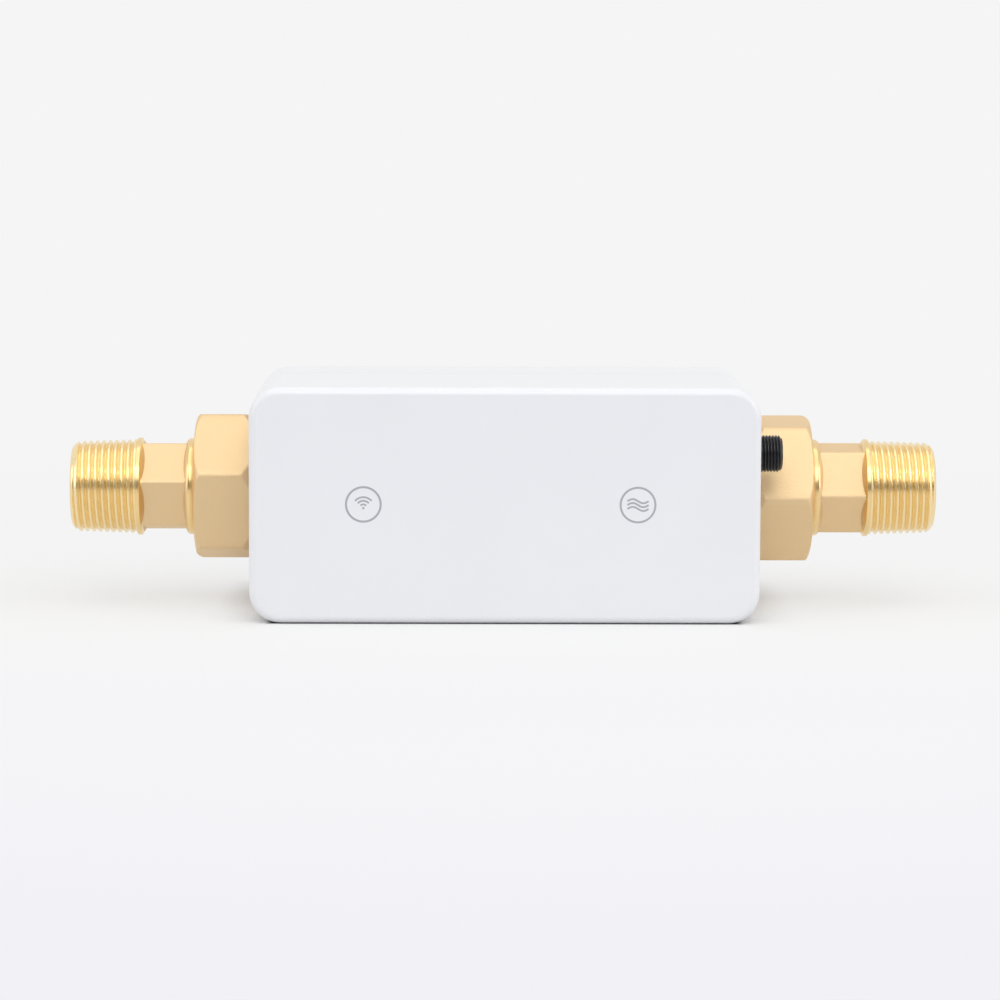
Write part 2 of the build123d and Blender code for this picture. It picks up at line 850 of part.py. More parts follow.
def make_turbine_guide(start_x, nose_side, name):
    """Ring, straightening vanes and a hub whose blind hole carries one end of the turbine shaft."""
    hub_end_x = start_x if nose_side < 0 else start_x + guide_length
    bearing_x = start_x + guide_length if nose_side < 0 else start_x
    with BuildPart() as guide:
        with BuildSketch(across_pipe(start_x)):
            Circle(meter_bore_radius - fit_gap)
            Circle(meter_bore_radius - fit_gap - guide_ring_thickness, mode=Mode.SUBTRACT)
        extrude(amount=guide_length)
        with BuildSketch(across_pipe(start_x)):
            with PolarLocations(0, guide_vanes // 2, angular_range=180):
                Rectangle(
                    2 * meter_bore_radius - guide_ring_thickness,
                    guide_vane_thickness,
                    align=(Align.CENTER, Align.CENTER),
                )
        extrude(amount=guide_length)
        with BuildSketch(pipe_section):
            with BuildLine():
                nose = (hub_end_x + nose_side * guide_nose_length, 0)
                shoulder = (hub_end_x, guide_hub_radius)
                SagittaArc(nose, shoulder, nose_side * -guide_nose_length / 4)
                Polyline(shoulder, (bearing_x, guide_hub_radius), (bearing_x, 0), nose)
            make_face()
        revolve(axis=pipe_axis)
        with BuildSketch(pipe_section):
            with Locations((bearing_x, 0)):
                Rectangle(
                    turbine_bearing_depth,
                    turbine_shaft_radius + fit_gap,
                    align=(Align.MAX if nose_side < 0 else Align.MIN, Align.MIN),
                )
        revolve(axis=pipe_axis, mode=Mode.SUBTRACT)
    keep(guide, name)


def make_turbine_rotor():
    """Moulded rotor: a hollow hub with blades that twist along it, lofted through three sections."""
    half_blade = rotor_blade_thickness / 2
    with BuildPart() as blade:
        for step in (0, 1, 2):
            with BuildSketch(across_pipe(rotor_x + step * rotor_length / 2)):
                with Locations(Rotation(0, 0, step * rotor_twist / 2)):
                    with Locations((guide_hub_radius / 2, 0)):
                        Rectangle(
                            rotor_tip_radius - guide_hub_radius / 2,
                            2 * half_blade,
                            align=(Align.MIN, Align.CENTER),
                        )
        loft()
    with BuildPart() as rotor:
        for turn in range(rotor_blades):
            add(blade.part.rotate(pipe_axis, 360 * turn / rotor_blades))
        with BuildSketch(across_pipe(rotor_x)):
            Circle(guide_hub_radius)
        extrude(amount=rotor_length)
        with BuildSketch(across_pipe(rotor_x)):
            Circle(turbine_shaft_radius)
        extrude(amount=rotor_length, mode=Mode.SUBTRACT)
        with BuildSketch(across_pipe(rotor_x)):
            Circle(ring_magnet_radius + fit_gap)
        extrude(amount=ring_magnet_length + fit_gap, mode=Mode.SUBTRACT)
    keep(rotor, "turbine_rotor")


def make_turbine_shaft_and_magnet():
    """Steel shaft that turns in the two guides, and the ring magnet in the rotor's hub."""
    shaft_start_x = rotor_x - turbine_gap - turbine_bearing_depth + loose_gap
    shaft_end_x = rear_guide_x + turbine_bearing_depth - loose_gap
    with BuildPart() as shaft:
        with BuildSketch(across_pipe(shaft_start_x)):
            Circle(turbine_shaft_radius)
        extrude(amount=shaft_end_x - shaft_start_x)
    keep(shaft, "turbine_shaft")
    with BuildPart() as magnet:
        with BuildSketch(across_pipe(rotor_x)):
            Circle(ring_magnet_radius)
            Circle(turbine_shaft_radius + fit_gap, mode=Mode.SUBTRACT)
        extrude(amount=ring_magnet_length)
    keep(magnet, "turbine_magnet")


def make_snap_ring():
    """Open spring ring that holds the turbine cartridge in the meter bore."""
    with BuildPart() as ring:
        with BuildSketch(across_pipe(snap_ring_x + fit_gap)):
            Circle(meter_bore_radius + snap_ring_depth - fit_gap)
            Circle(meter_bore_radius - snap_ring_depth, mode=Mode.SUBTRACT)
            with Locations((0, -meter_bore_radius)):
                Rectangle(snap_ring_opening, meter_bore_radius, mode=Mode.SUBTRACT)
        extrude(amount=snap_ring_width - 2 * fit_gap)
    keep(ring, "snap_ring")


make_turbine_guide(turbine_start_x, -1, "turbine_inlet_guide")
make_turbine_guide(rear_guide_x, 1, "turbine_outlet_guide")
make_turbine_rotor()
make_turbine_shaft_and_magnet()
make_snap_ring()


def make_union_nut(side, corner_turn, name):
    """Hexagon union nut: threaded bore, inner shoulder, and a turned chamfer on its outer end."""
    corner = nut_across_flats / sqrt(3)
    flat = nut_across_flats / 2
    nose = [
        (
            side * (nut_outer_x - nut_nose_length * (1 - sin(radians(angle)))),
            nut_nose_radius + (corner - nut_nose_radius) * cos(radians(angle)),
        )
        for angle in (0, 30, 60, 90)
    ]
    with BuildPart() as nut:
        with BuildSketch(across_pipe(side * (nut_inner_x if side > 0 else nut_outer_x))):
            RegularPolygon(flat, 6, major_radius=False, rotation=corner_turn)
        extrude(amount=nut_length)
        with BuildSketch(pipe_section):
            Polygon(
                (side * nut_inner_x, spigot_radius + thread_gap),
                (side * nut_inner_x, corner - nut_inner_chamfer),
                (side * (nut_inner_x + nut_inner_chamfer), corner),
                *nose,
                (side * nut_outer_x, neck_radius + nut_neck_gap),
                (side * nut_shoulder_x, neck_radius + nut_neck_gap),
                (side * nut_shoulder_x, spigot_radius + thread_gap),
                align=None,
            )
        revolve(axis=pipe_axis, mode=Mode.INTERSECT)
    keep(nut, name)


def make_tailpiece(side, corner_turn, name):
    """Brass tailpiece: flange under the nut, neck, hexagon, collar and the plain-turned thread."""
    with BuildPart() as tail:
        with BuildSketch(pipe_section):
            Polygon(
                (side * flange_x, tail_bore_radius),
                (side * flange_x, flange_radius),
                (side * (nut_shoulder_x - fit_gap), flange_radius),
                (side * (nut_shoulder_x - fit_gap), neck_radius),
                (side * neck_end_x, neck_radius),
                (side * (neck_end_x + tail_neck_cone), tail_root_radius),
                (side * (tail_collar_x - tail_collar_cone), tail_root_radius),
                (side * tail_collar_x, tail_collar_radius),
                (side * tail_thread_x, tail_collar_radius),
                (side * tail_thread_x, tail_thread_radius),
                (side * (tail_end_x - tail_end_chamfer), tail_thread_radius),
                (side * tail_end_x, tail_thread_radius - tail_end_chamfer),
                (side * tail_end_x, tail_bore_radius),
                align=None,
            )
        revolve(axis=pipe_axis)
        with BuildSketch(across_pipe(side * (neck_end_x if side > 0 else tail_collar_x))):
            RegularPolygon(
                tail_hex_across_flats / 2, 6, major_radius=False, rotation=corner_turn
            )
        extrude(amount=tail_hex_length)
        with BuildSketch(across_pipe(side * (flange_x if side > 0 else tail_end_x))):
            Circle(tail_bore_radius)
        extrude(amount=tail_end_x - flange_x, mode=Mode.SUBTRACT)
    keep(tail, name)


def make_union_gaskets():
    """Flat sealing rings between each spigot and the tailpiece flange."""
    with BuildPart() as gaskets:
        for start in (-flange_x + fit_gap, spigot_end_x + fit_gap):
            with BuildSketch(across_pipe(start)):
                Circle(tail_bore_radius + fit_gap + gasket_width)
                Circle(tail_bore_radius + fit_gap, mode=Mode.SUBTRACT)
            extrude(amount=gasket_thickness - 2 * fit_gap)
    keep(gaskets, "union_gaskets")


# A corner of each hexagon points at the front, raised by the turn given for that piece.
front_corner = 180
make_union_nut(-1, front_corner - inlet_nut_turn, "inlet_union_nut")
make_union_nut(1, front_corner - outlet_nut_turn, "outlet_union_nut")
make_tailpiece(-1, front_corner - inlet_tail_turn, "inlet_tailpiece")
make_tailpiece(1, front_corner - outlet_tail_turn, "outlet_tailpiece")
make_union_gaskets()

# Gear train: centres in the front view, and the depth of each layer of gears
case_back_y = stem_pad_y
case_floor_y = case_back_y - case_floor
output_back_y = case_floor_y - layer_gap
output_front_y = output_back_y - output_face
second_back_y = output_front_y - layer_gap
second_front_y = second_back_y - second_face
first_back_y = second_front_y - layer_gap
first_front_y = first_back_y - first_face
lid_back_y = first_front_y - layer_gap
lid_front_y = lid_back_y - case_lid


def stepped(place, distance, direction):
    """The point at this distance and direction from place, in the front view."""
    angle = radians(direction)
    return (place[0] + distance * cos(angle), place[1] + distance * sin(angle))


def centre_distance(teeth, module):
    return (teeth + pinion_teeth) * module / 2 + centre_extra


output_centre = (ball_x, pipe_z)
second_centre = stepped(
    output_centre, centre_distance(output_teeth, output_module), second_direction
)
first_centre = stepped(
    second_centre, centre_distance(second_teeth, second_module), first_direction
)
motor_centre = stepped(first_centre, centre_distance(first_teeth, first_module), motor_direction)
pinion_phase = 180 + 180 / pinion_teeth


def involute_angle(radius, base_radius):
    """Polar angle that an involute has swept when it reaches this radius."""
    roll = sqrt(max((radius / base_radius) ** 2 - 1, 0))
    return roll - atan(roll)


def gear_sketch(y, centre, teeth, module, turn):
    """Spur gear outline at depth y: involute flanks in short chords, one tooth at angle turn."""
    pitch = teeth * module / 2
    base = pitch * cos(radians(pressure_angle))
    tip = pitch + addendum_share * module
    root = pitch - dedendum_share * module
    start = max(base, root)
    half_tooth = pi / (2 * teeth) + involute_angle(pitch, base)
    half_tooth -= backlash_share * module / (4 * pitch)
    radii = [start + (tip - start) * step / flank_chords for step in range(flank_chords + 1)]
    flank = [(radius, half_tooth - involute_angle(radius, base)) for radius in radii]
    if root < base:
        flank.insert(0, (root, half_tooth))
    corners = []
    for tooth in range(teeth):
        middle = radians(turn) + 2 * pi * tooth / teeth
        corners += [(r * cos(middle - a), r * sin(middle - a)) for r, a in flank]
        corners += [(r * cos(middle + a), r * sin(middle + a)) for r, a in reversed(flank)]
    with BuildSketch(facing_front(y)) as outline:
        with Locations(centre):
            Polygon(*corners, align=None)
    return outline.sketch


def make_output_gear():
    """Output gear on the stem's flats, with a thinned web and a pocket for the position magnet."""
    pitch = output_teeth * output_module / 2
    magnet_place = stepped(output_centre, position_magnet_reach, 45)
    with BuildPart() as gear:
        extrude(
            gear_sketch(
                output_back_y, output_centre, output_teeth, output_module, second_direction
            ),
            amount=output_face,
        )
        with BuildSketch(facing_front(output_back_y + layer_gap - fit_gap)):
            with Locations(output_centre):
                Circle(output_hub_radius)
        extrude(amount=layer_gap)
        with BuildSketch(facing_front(output_back_y)):
            with Locations(output_centre):
                Circle(pitch - gear_rim)
                Circle(output_hub_radius, mode=Mode.SUBTRACT)
        extrude(amount=gear_web_recess, mode=Mode.SUBTRACT)
        with BuildSketch(facing_front(output_back_y + layer_gap)):
            with Locations(output_centre):
                Circle(stem_drive_radius + fit_gap)
                Rectangle(
                    2 * stem_radius, stem_drive_flats + 2 * fit_gap, mode=Mode.INTERSECT
                )
        extrude(amount=output_face + 2 * layer_gap, mode=Mode.SUBTRACT)
        with BuildSketch(facing_front(output_front_y + position_magnet_thickness + fit_gap)):
            with Locations(magnet_place):
                Circle(position_magnet_radius + fit_gap)
        extrude(amount=position_magnet_thickness + cut_overrun, mode=Mode.SUBTRACT)
    keep(gear, "output_gear")
    with BuildPart() as magnet:
        with BuildSketch(facing_front(output_front_y + position_magnet_thickness)):
            with Locations(magnet_place):
                Circle(position_magnet_radius)
        extrude(amount=position_magnet_thickness)
    keep(magnet, "position_magnet")


def make_gear_screw():
    """Pan-head screw that keeps the output gear on the stem."""
    head_y = output_front_y - fit_gap
    screw = turned_along_y(
        [output_centre],
        [
            (0, head_y - gear_screw_head_height),
            (gear_screw_head_radius, head_y - gear_screw_head_height),
            (gear_screw_head_radius, head_y),
            (gear_screw_radius, head_y),
            (gear_screw_radius, stem_top_y + gear_screw_length - loose_gap),
            (0, stem_top_y + gear_screw_length - loose_gap),
        ],
    )
    keep(screw, "gear_screw")


def make_second_gear():
    """Compound gear: its pinion drives the output gear and its wheel meets the first gear."""
    hub_radius = second_pin_radius + gear_hub_wall
    with BuildPart() as gear:
        extrude(
            gear_sketch(
                output_back_y,
                second_centre,
                pinion_teeth,
                output_module,
                second_direction + pinion_phase,
            ),
            amount=output_back_y - second_back_y,
        )
        extrude(
            gear_sketch(
                second_back_y, second_centre, second_teeth, second_module, first_direction
            ),
            amount=second_face,
        )
        with BuildSketch(facing_front(second_front_y + gear_web_recess)):
            with Locations(second_centre):
                Circle(second_teeth * second_module / 2 - gear_rim)
                Circle(hub_radius + gear_rim, mode=Mode.SUBTRACT)
        extrude(amount=gear_web_recess, mode=Mode.SUBTRACT)
        with BuildSketch(facing_front(case_floor_y - fit_gap)):
            with Locations(second_centre):
                Circle(hub_radius)
        extrude(amount=case_floor_y - lid_back_y - 2 * fit_gap)
        with BuildSketch(facing_front(case_floor_y)):
            with Locations(second_centre):
                Circle(second_pin_radius + fit_gap)
        extrude(amount=case_floor_y - lid_back_y, mode=Mode.SUBTRACT)
    keep(gear, "second_gear")


def make_first_gear():
    """Compound gear: its fine wheel is driven by the motor and its pinion drives the second gear."""
    hub_radius = first_pin_radius + gear_hub_wall
    with BuildPart() as gear:
        extrude(
            gear_sketch(
                second_back_y,
                first_centre,
                pinion_teeth,
                second_module,
                first_direction + pinion_phase,
            ),
            amount=second_back_y - first_back_y,
        )
        extrude(
            gear_sketch(first_back_y, first_centre, first_teeth, first_module, motor_direction),
            amount=first_face,
        )
        with BuildSketch(facing_front(case_floor_y - fit_gap)):
            with Locations(first_centre):
                Circle(hub_radius)
        extrude(amount=case_floor_y - lid_back_y - 2 * fit_gap)
        with BuildSketch(facing_front(case_floor_y)):
            with Locations(first_centre):
                Circle(first_pin_radius + fit_gap)
        extrude(amount=case_floor_y - lid_back_y, mode=Mode.SUBTRACT)
    keep(gear, "first_gear")


def make_gear_pins():
    """Two fixed steel pins on which the compound gears turn."""
    with BuildPart() as pins:
        for centre, radius in (
            (second_centre, second_pin_radius),
            (first_centre, first_pin_radius),
        ):
            with BuildSketch(facing_front(case_back_y - fit_gap)):
                with Locations(centre):
                    Circle(radius)
            extrude(amount=case_back_y - lid_front_y - 2 * fit_gap)
    keep(pins, "gear_pins")


make_output_gear()
make_gear_screw()
make_second_gear()
make_first_gear()
make_gear_pins()

# Motor place: its face sits behind the layer of the second gear.
motor_face_y = second_back_y + layer_gap + motor_pocket_wall
motor_pocket_face_y = motor_face_y - motor_pocket_wall
motor_back_y = motor_face_y + motor_length
motor_screw_places = [
    (motor_centre[0] + side * motor_screw_spread / 2, motor_centre[1]) for side in (-1, 1)
]

case_rims = (
    (output_centre, output_teeth, output_module),
    (output_centre, output_teeth, output_module),
    (second_centre, second_teeth, second_module),
    (first_centre, first_teeth, first_module),
)
position_places = [
    stepped(output_centre, position_magnet_reach, direction) for direction in (45, -45)
]
lug_reach = gear_side_clearance + case_wall + case_screw_radius
case_lug_places = [
    stepped(centre, (teeth / 2 + addendum_share) * module + lug_reach, direction)
    for (centre, teeth, module), direction in zip(case_rims, case_lug_directions)
]


def case_outline(y, grow):
    """Hull round the four gears at depth y, grow larger than the space that they need."""
    with BuildSketch(facing_front(y)) as outline:
        for centre, teeth, module in case_rims + ((motor_centre, pinion_teeth, first_module),):
            with Locations(centre):
                Circle((teeth / 2 + addendum_share) * module + gear_side_clearance + grow)
        make_hull()
    return outline.sketch


def motor_outline(y, grow):
    """The motor's flatted round section at depth y, grown all round."""
    with BuildSketch(facing_front(y)) as outline:
        with Locations(motor_centre):
            Circle(motor_radius + grow)
            Rectangle(2 * (motor_radius + grow), motor_flats + 2 * grow, mode=Mode.INTERSECT)
    return outline.sketch


def make_case_tray():
    """Actuator tray: floor on the stem pad, rim round the gears, motor pocket, screw lugs."""
    with BuildPart() as tray:
        extrude(case_outline(case_back_y, case_wall), amount=case_back_y - lid_back_y)
        with BuildSketch(facing_front(case_back_y)):
            with Locations(*case_lug_places):
                Circle(case_lug_radius)
        extrude(amount=case_back_y - lid_back_y)
        extrude(
            case_outline(case_floor_y, 0), amount=case_floor_y - lid_front_y, mode=Mode.SUBTRACT
        )
        extrude(
            motor_outline(case_back_y, motor_pocket_gap + motor_pocket_wall),
            amount=case_back_y - motor_pocket_face_y,
        )
        extrude(
            motor_outline(case_back_y, motor_pocket_gap),
            amount=case_back_y - motor_face_y,
            mode=Mode.SUBTRACT,
        )
        with BuildSketch(facing_front(case_back_y)):
            with Locations(motor_centre):
                Circle(motor_boss_radius + fit_gap)
            with Locations(*motor_screw_places):
                Circle(motor_screw_radius + fit_gap)
            with Locations(output_centre):
                Circle(stem_radius + loose_gap)
            with Locations(second_centre):
                Circle(second_pin_radius)
            with Locations(first_centre):
                Circle(first_pin_radius)
        extrude(amount=case_back_y - second_back_y, mode=Mode.SUBTRACT)
        with BuildSketch(facing_front(case_back_y)):
            with Locations(*case_lug_places):
                Circle(case_screw_radius)
        extrude(amount=case_back_y - lid_front_y, mode=Mode.SUBTRACT)
        for x, z in pad_screw_places:
            with BuildSketch(Plane(origin=(x, 0, z), x_dir=(1, 0, 0), z_dir=(0, 0, 1))):
                Polygon(
                    (0, case_floor_y - cut_overrun),
                    (pad_screw_head_radius + fit_gap, case_floor_y - cut_overrun),
                    (pad_screw_head_radius + fit_gap, case_floor_y),
                    (
                        pad_screw_radius + fit_gap,
                        case_floor_y + pad_screw_head_radius - pad_screw_radius,
                    ),
                    (pad_screw_radius + fit_gap, case_back_y + cut_overrun),
                    (0, case_back_y + cut_overrun),
                    align=None,
                )
            revolve(axis=Axis((x, 0, z), (0, 1, 0)), mode=Mode.SUBTRACT)
    keep(tray, "actuator_tray")


def make_case_lid():
    """Flat lid over the gears, with countersunk screw holes and holes for the pins' ends."""
    with BuildPart() as lid:
        extrude(case_outline(lid_back_y, case_wall), amount=case_lid)
        with BuildSketch(facing_front(lid_back_y)):
            with Locations(*case_lug_places):
                Circle(case_lug_radius)
        extrude(amount=case_lid)
        with BuildSketch(facing_front(lid_back_y)):
            with Locations(second_centre):
                Circle(second_pin_radius)
            with Locations(first_centre):
                Circle(first_pin_radius)
            with Locations(*case_lug_places):
                Circle(case_screw_radius + fit_gap)
            with Locations((position_places[0][0], pipe_z)):
                Rectangle(
                    2 * header_pin_radius + header_slot_gap,
                    3 * header_pitch + 2 * header_pin_radius + header_slot_gap,
                )
        extrude(amount=case_lid, mode=Mode.SUBTRACT)
        for x, z in case_lug_places:
            with BuildSketch(Plane(origin=(x, 0, z), x_dir=(1, 0, 0), z_dir=(0, 0, 1))):
                Polygon(
                    (0, lid_front_y),
                    (case_screw_head_radius + fit_gap, lid_front_y),
                    (0, lid_front_y + case_screw_head_radius + fit_gap),
                    align=None,
                )
            revolve(axis=Axis((x, 0, z), (0, 1, 0)), mode=Mode.SUBTRACT)
    keep(lid, "actuator_lid")


def countersunk_screws(places, head_y, head_radius, radius, length, name):
    """Countersunk screws whose flush heads face the front."""
    screws = turned_along_y(
        places,
        [
            (0, head_y),
            (head_radius, head_y),
            (radius, head_y + head_radius - radius),
            (radius, head_y + length),
            (0, head_y + length),
        ],
    )
    keep(screws, name)


make_case_tray()
make_case_lid()
countersunk_screws(
    case_lug_places,
    lid_front_y + fit_gap,
    case_screw_head_radius,
    case_screw_radius - fit_gap,
    case_screw_length,
    "lid_screws",
)
countersunk_screws(
    pad_screw_places,
    case_floor_y + fit_gap,
    pad_screw_head_radius,
    pad_screw_radius,
    pad_screw_length,
    "tray_screws",
)


def make_motor():
    """Flatted can motor: can, end cap, magnet pair, armature, shaft, pinion and face screws."""
    cavity_radius = motor_flats / 2 - motor_can_wall
    with BuildPart() as can:
        extrude(motor_outline(motor_back_y, 0), amount=motor_length)
        with BuildSketch(facing_front(motor_face_y)):
            with Locations(motor_centre):
                Circle(motor_boss_radius)
        extrude(amount=motor_boss_height)
        with BuildSketch(facing_front(motor_back_y)):
            with Locations(motor_centre):
                Circle(cavity_radius)
        extrude(amount=motor_length - motor_can_wall, mode=Mode.SUBTRACT)
        with BuildSketch(facing_front(motor_back_y)):
            with Locations(motor_centre):
                Circle(motor_shaft_radius + fit_gap)
            with Locations(*motor_screw_places):
                Circle(motor_screw_radius)
        extrude(amount=motor_length + motor_boss_height, mode=Mode.SUBTRACT)
    keep(can, "motor_can")

    with BuildPart() as cap:
        extrude(
            motor_outline(motor_back_y + motor_cap_thickness, -motor_can_wall),
            amount=motor_cap_thickness,
        )
        with BuildSketch(facing_front(motor_back_y + motor_cap_thickness)):
            with Locations(motor_centre):
                Circle(motor_shaft_radius + fit_gap)
        extrude(amount=motor_cap_thickness, mode=Mode.SUBTRACT)
    keep(cap, "motor_end_cap")

    with BuildPart() as magnets:
        with BuildSketch(facing_front(motor_back_y - motor_can_wall)):
            with Locations(motor_centre):
                Circle(cavity_radius - fit_gap)
                Circle(cavity_radius - motor_magnet_thickness, mode=Mode.SUBTRACT)
                Rectangle(
                    2 * cavity_radius,
                    2 * cavity_radius * cos(radians(motor_magnet_arc / 2)),
                    mode=Mode.SUBTRACT,
                )
        extrude(amount=armature_length + 2 * motor_can_wall)
    keep(magnets, "motor_magnets")

    armature_back_y = motor_back_y - 2 * motor_can_wall
    with BuildPart() as armature:
        with BuildSketch(facing_front(armature_back_y)):
            with Locations(motor_centre):
                Circle(armature_radius)
                with PolarLocations(armature_radius, 3):
                    Rectangle(
                        armature_radius, armature_slot_width, mode=Mode.SUBTRACT
                    )
        extrude(amount=armature_length)
        with BuildSketch(facing_front(armature_back_y)):
            with Locations(motor_centre):
                Circle(commutator_radius)
        extrude(amount=armature_length + 2 * motor_shaft_radius)
        with BuildSketch(facing_front(armature_back_y)):
            with Locations(motor_centre):
                Circle(motor_shaft_radius)
        extrude(amount=armature_length + 2 * motor_shaft_radius, mode=Mode.SUBTRACT)
    keep(armature, "motor_armature")

    shaft_back_y = motor_back_y + motor_cap_thickness - fit_gap
    with BuildPart() as shaft:
        with BuildSketch(facing_front(shaft_back_y)):
            with Locations(motor_centre):
                Circle(motor_shaft_radius)
        extrude(amount=shaft_back_y - first_front_y)
    keep(shaft, "motor_shaft")

    with BuildPart() as pinion:
        extrude(
            gear_sketch(
                first_back_y,
                motor_centre,
                pinion_teeth,
                first_module,
                motor_direction + pinion_phase,
            ),
            amount=first_face,
        )
        with BuildSketch(facing_front(first_back_y)):
            with Locations(motor_centre):
                Circle(motor_shaft_radius)
        extrude(amount=first_face, mode=Mode.SUBTRACT)
    keep(pinion, "motor_pinion")

    head_y = motor_pocket_face_y - fit_gap
    screws = turned_along_y(
        motor_screw_places,
        [
            (0, head_y - motor_screw_head_height),
            (motor_screw_head_radius, head_y - motor_screw_head_height),
            (motor_screw_head_radius, head_y),
            (motor_screw_radius - fit_gap, head_y),
            (motor_screw_radius - fit_gap, head_y + motor_screw_length),
            (0, head_y + motor_screw_length),
        ],
    )
    keep(screws, "motor_screws")


make_motor()


def make_board(y, thickness, centre, width, height, holes, hole_radius, name):
    """A flat circuit board whose back face is at y, with round holes."""
    with BuildPart() as board:
        with BuildSketch(facing_front(y)):
            with Locations(centre):
                Rectangle(width, height)
            if holes:
                with Locations(*holes):
                    Circle(hole_radius, mode=Mode.SUBTRACT)
        extrude(amount=thickness)
    keep(board, name)


def make_block(y, thickness, centres, width, height, name):
    """Rectangular components that stand forward from depth y."""
    with BuildPart() as block:
        with BuildSketch(facing_front(y)):
            with Locations(*centres):
                Rectangle(width, height)
        extrude(amount=thickness)
    keep(block, name)


touch_centre = (0, pipe_z)
touch_pad_places = [(left_icon_x, pipe_z + icon_raise), (right_icon_x, pipe_z + icon_raise)]
led_places = [(x + touch_pad_radius + led_width, z) for x, z in touch_pad_places]
make_board(
    board_back_y,
    board_thickness,
    (main_board_x, pipe_z),
    main_board_width,
    main_board_height,
    board_screw_places,
    board_screw_radius + fit_gap,
    "main_board",
)
board_screws = turned_along_y(
    board_screw_places,
    [
        (0, board_back_y + board_thickness),
        (board_screw_head_radius, board_back_y + board_thickness),
        (board_screw_head_radius, board_back_y + fit_gap),
        (board_screw_radius, board_back_y + fit_gap),
        (board_screw_radius, board_back_y - board_screw_length),
        (0, board_back_y - board_screw_length),
    ],
)
keep(board_screws, "board_screws")
make_block(
    board_front_y,
    radio_thickness,
    [(main_board_x, pipe_z + main_board_height / 2 - board_post_radius * 2 - radio_height / 2)],
    radio_width,
    radio_height,
    "radio_module",
)
board_bottom_z = pipe_z - main_board_height / 2
terminal_z = board_bottom_z + 2 * main_board_screw_inset + terminal_height / 2 + loose_gap
capacitor_z = terminal_z + terminal_height / 2 + capacitor_radius + loose_gap
with BuildPart() as capacitor:
    with BuildSketch(facing_front(board_front_y)):
        with Locations((main_board_x - capacitor_radius, capacitor_z)):
            Circle(capacitor_radius)
    extrude(amount=capacitor_height)
keep(capacitor, "power_capacitor")
terminal_places = [
    (main_board_x + side * (terminal_width / 2 + loose_gap), terminal_z) for side in (-1, 1)
]
make_block(
    board_front_y,
    terminal_thickness,
    terminal_places,
    terminal_width,
    terminal_height,
    "terminal_blocks",
)
make_board(
    touch_board_front_y + thin_board_thickness,
    thin_board_thickness,
    touch_centre,
    touch_board_width,
    touch_board_height,
    stake_places,
    stake_radius + fit_gap,
    "touch_board",
)
with BuildPart() as touch_pads:
    with BuildSketch(facing_front(touch_board_front_y)):
        with Locations(*touch_pad_places):
            Circle(touch_pad_radius)
    extrude(amount=touch_board_gap - fit_gap)
keep(touch_pads, "touch_pads")
make_block(touch_board_front_y, led_thickness, led_places, led_width, led_height, "indicator_leds")
make_board(
    flow_pad_y,
    thin_board_thickness,
    (flow_pad_x, pipe_z),
    flow_board_width,
    flow_board_height,
    [],
    0,
    "flow_sensor_board",
)
make_board(
    lid_back_y + thin_board_thickness,
    thin_board_thickness,
    (position_places[0][0], pipe_z),
    position_board_width,
    position_board_height,
    [],
    0,
    "position_board",
)
with BuildPart() as hall_sensors:
    for y, places in (
        (flow_pad_y - thin_board_thickness, [(flow_pad_x, pipe_z)]),
        (lid_back_y + thin_board_thickness + hall_thickness, position_places),
    ):
        with BuildSketch(facing_front(y)):
            with Locations(*places):
                Rectangle(hall_size, hall_size)
        extrude(amount=hall_thickness)
keep(hall_sensors, "hall_sensors")

connector_axis = Axis((0, connector_y, connector_z), (1, 0, 0))
connector_section = Plane(
    origin=(0, connector_y, connector_z), x_dir=(1, 0, 0), z_dir=(0, -1, 0)
)
connector_end_x = end_x + connector_stand_out
connector_back_x = end_x - wall - connector_sleeve_inside
cavity_x = connector_end_x - connector_cavity_depth
connector_free_x = end_x + connector_groove_width


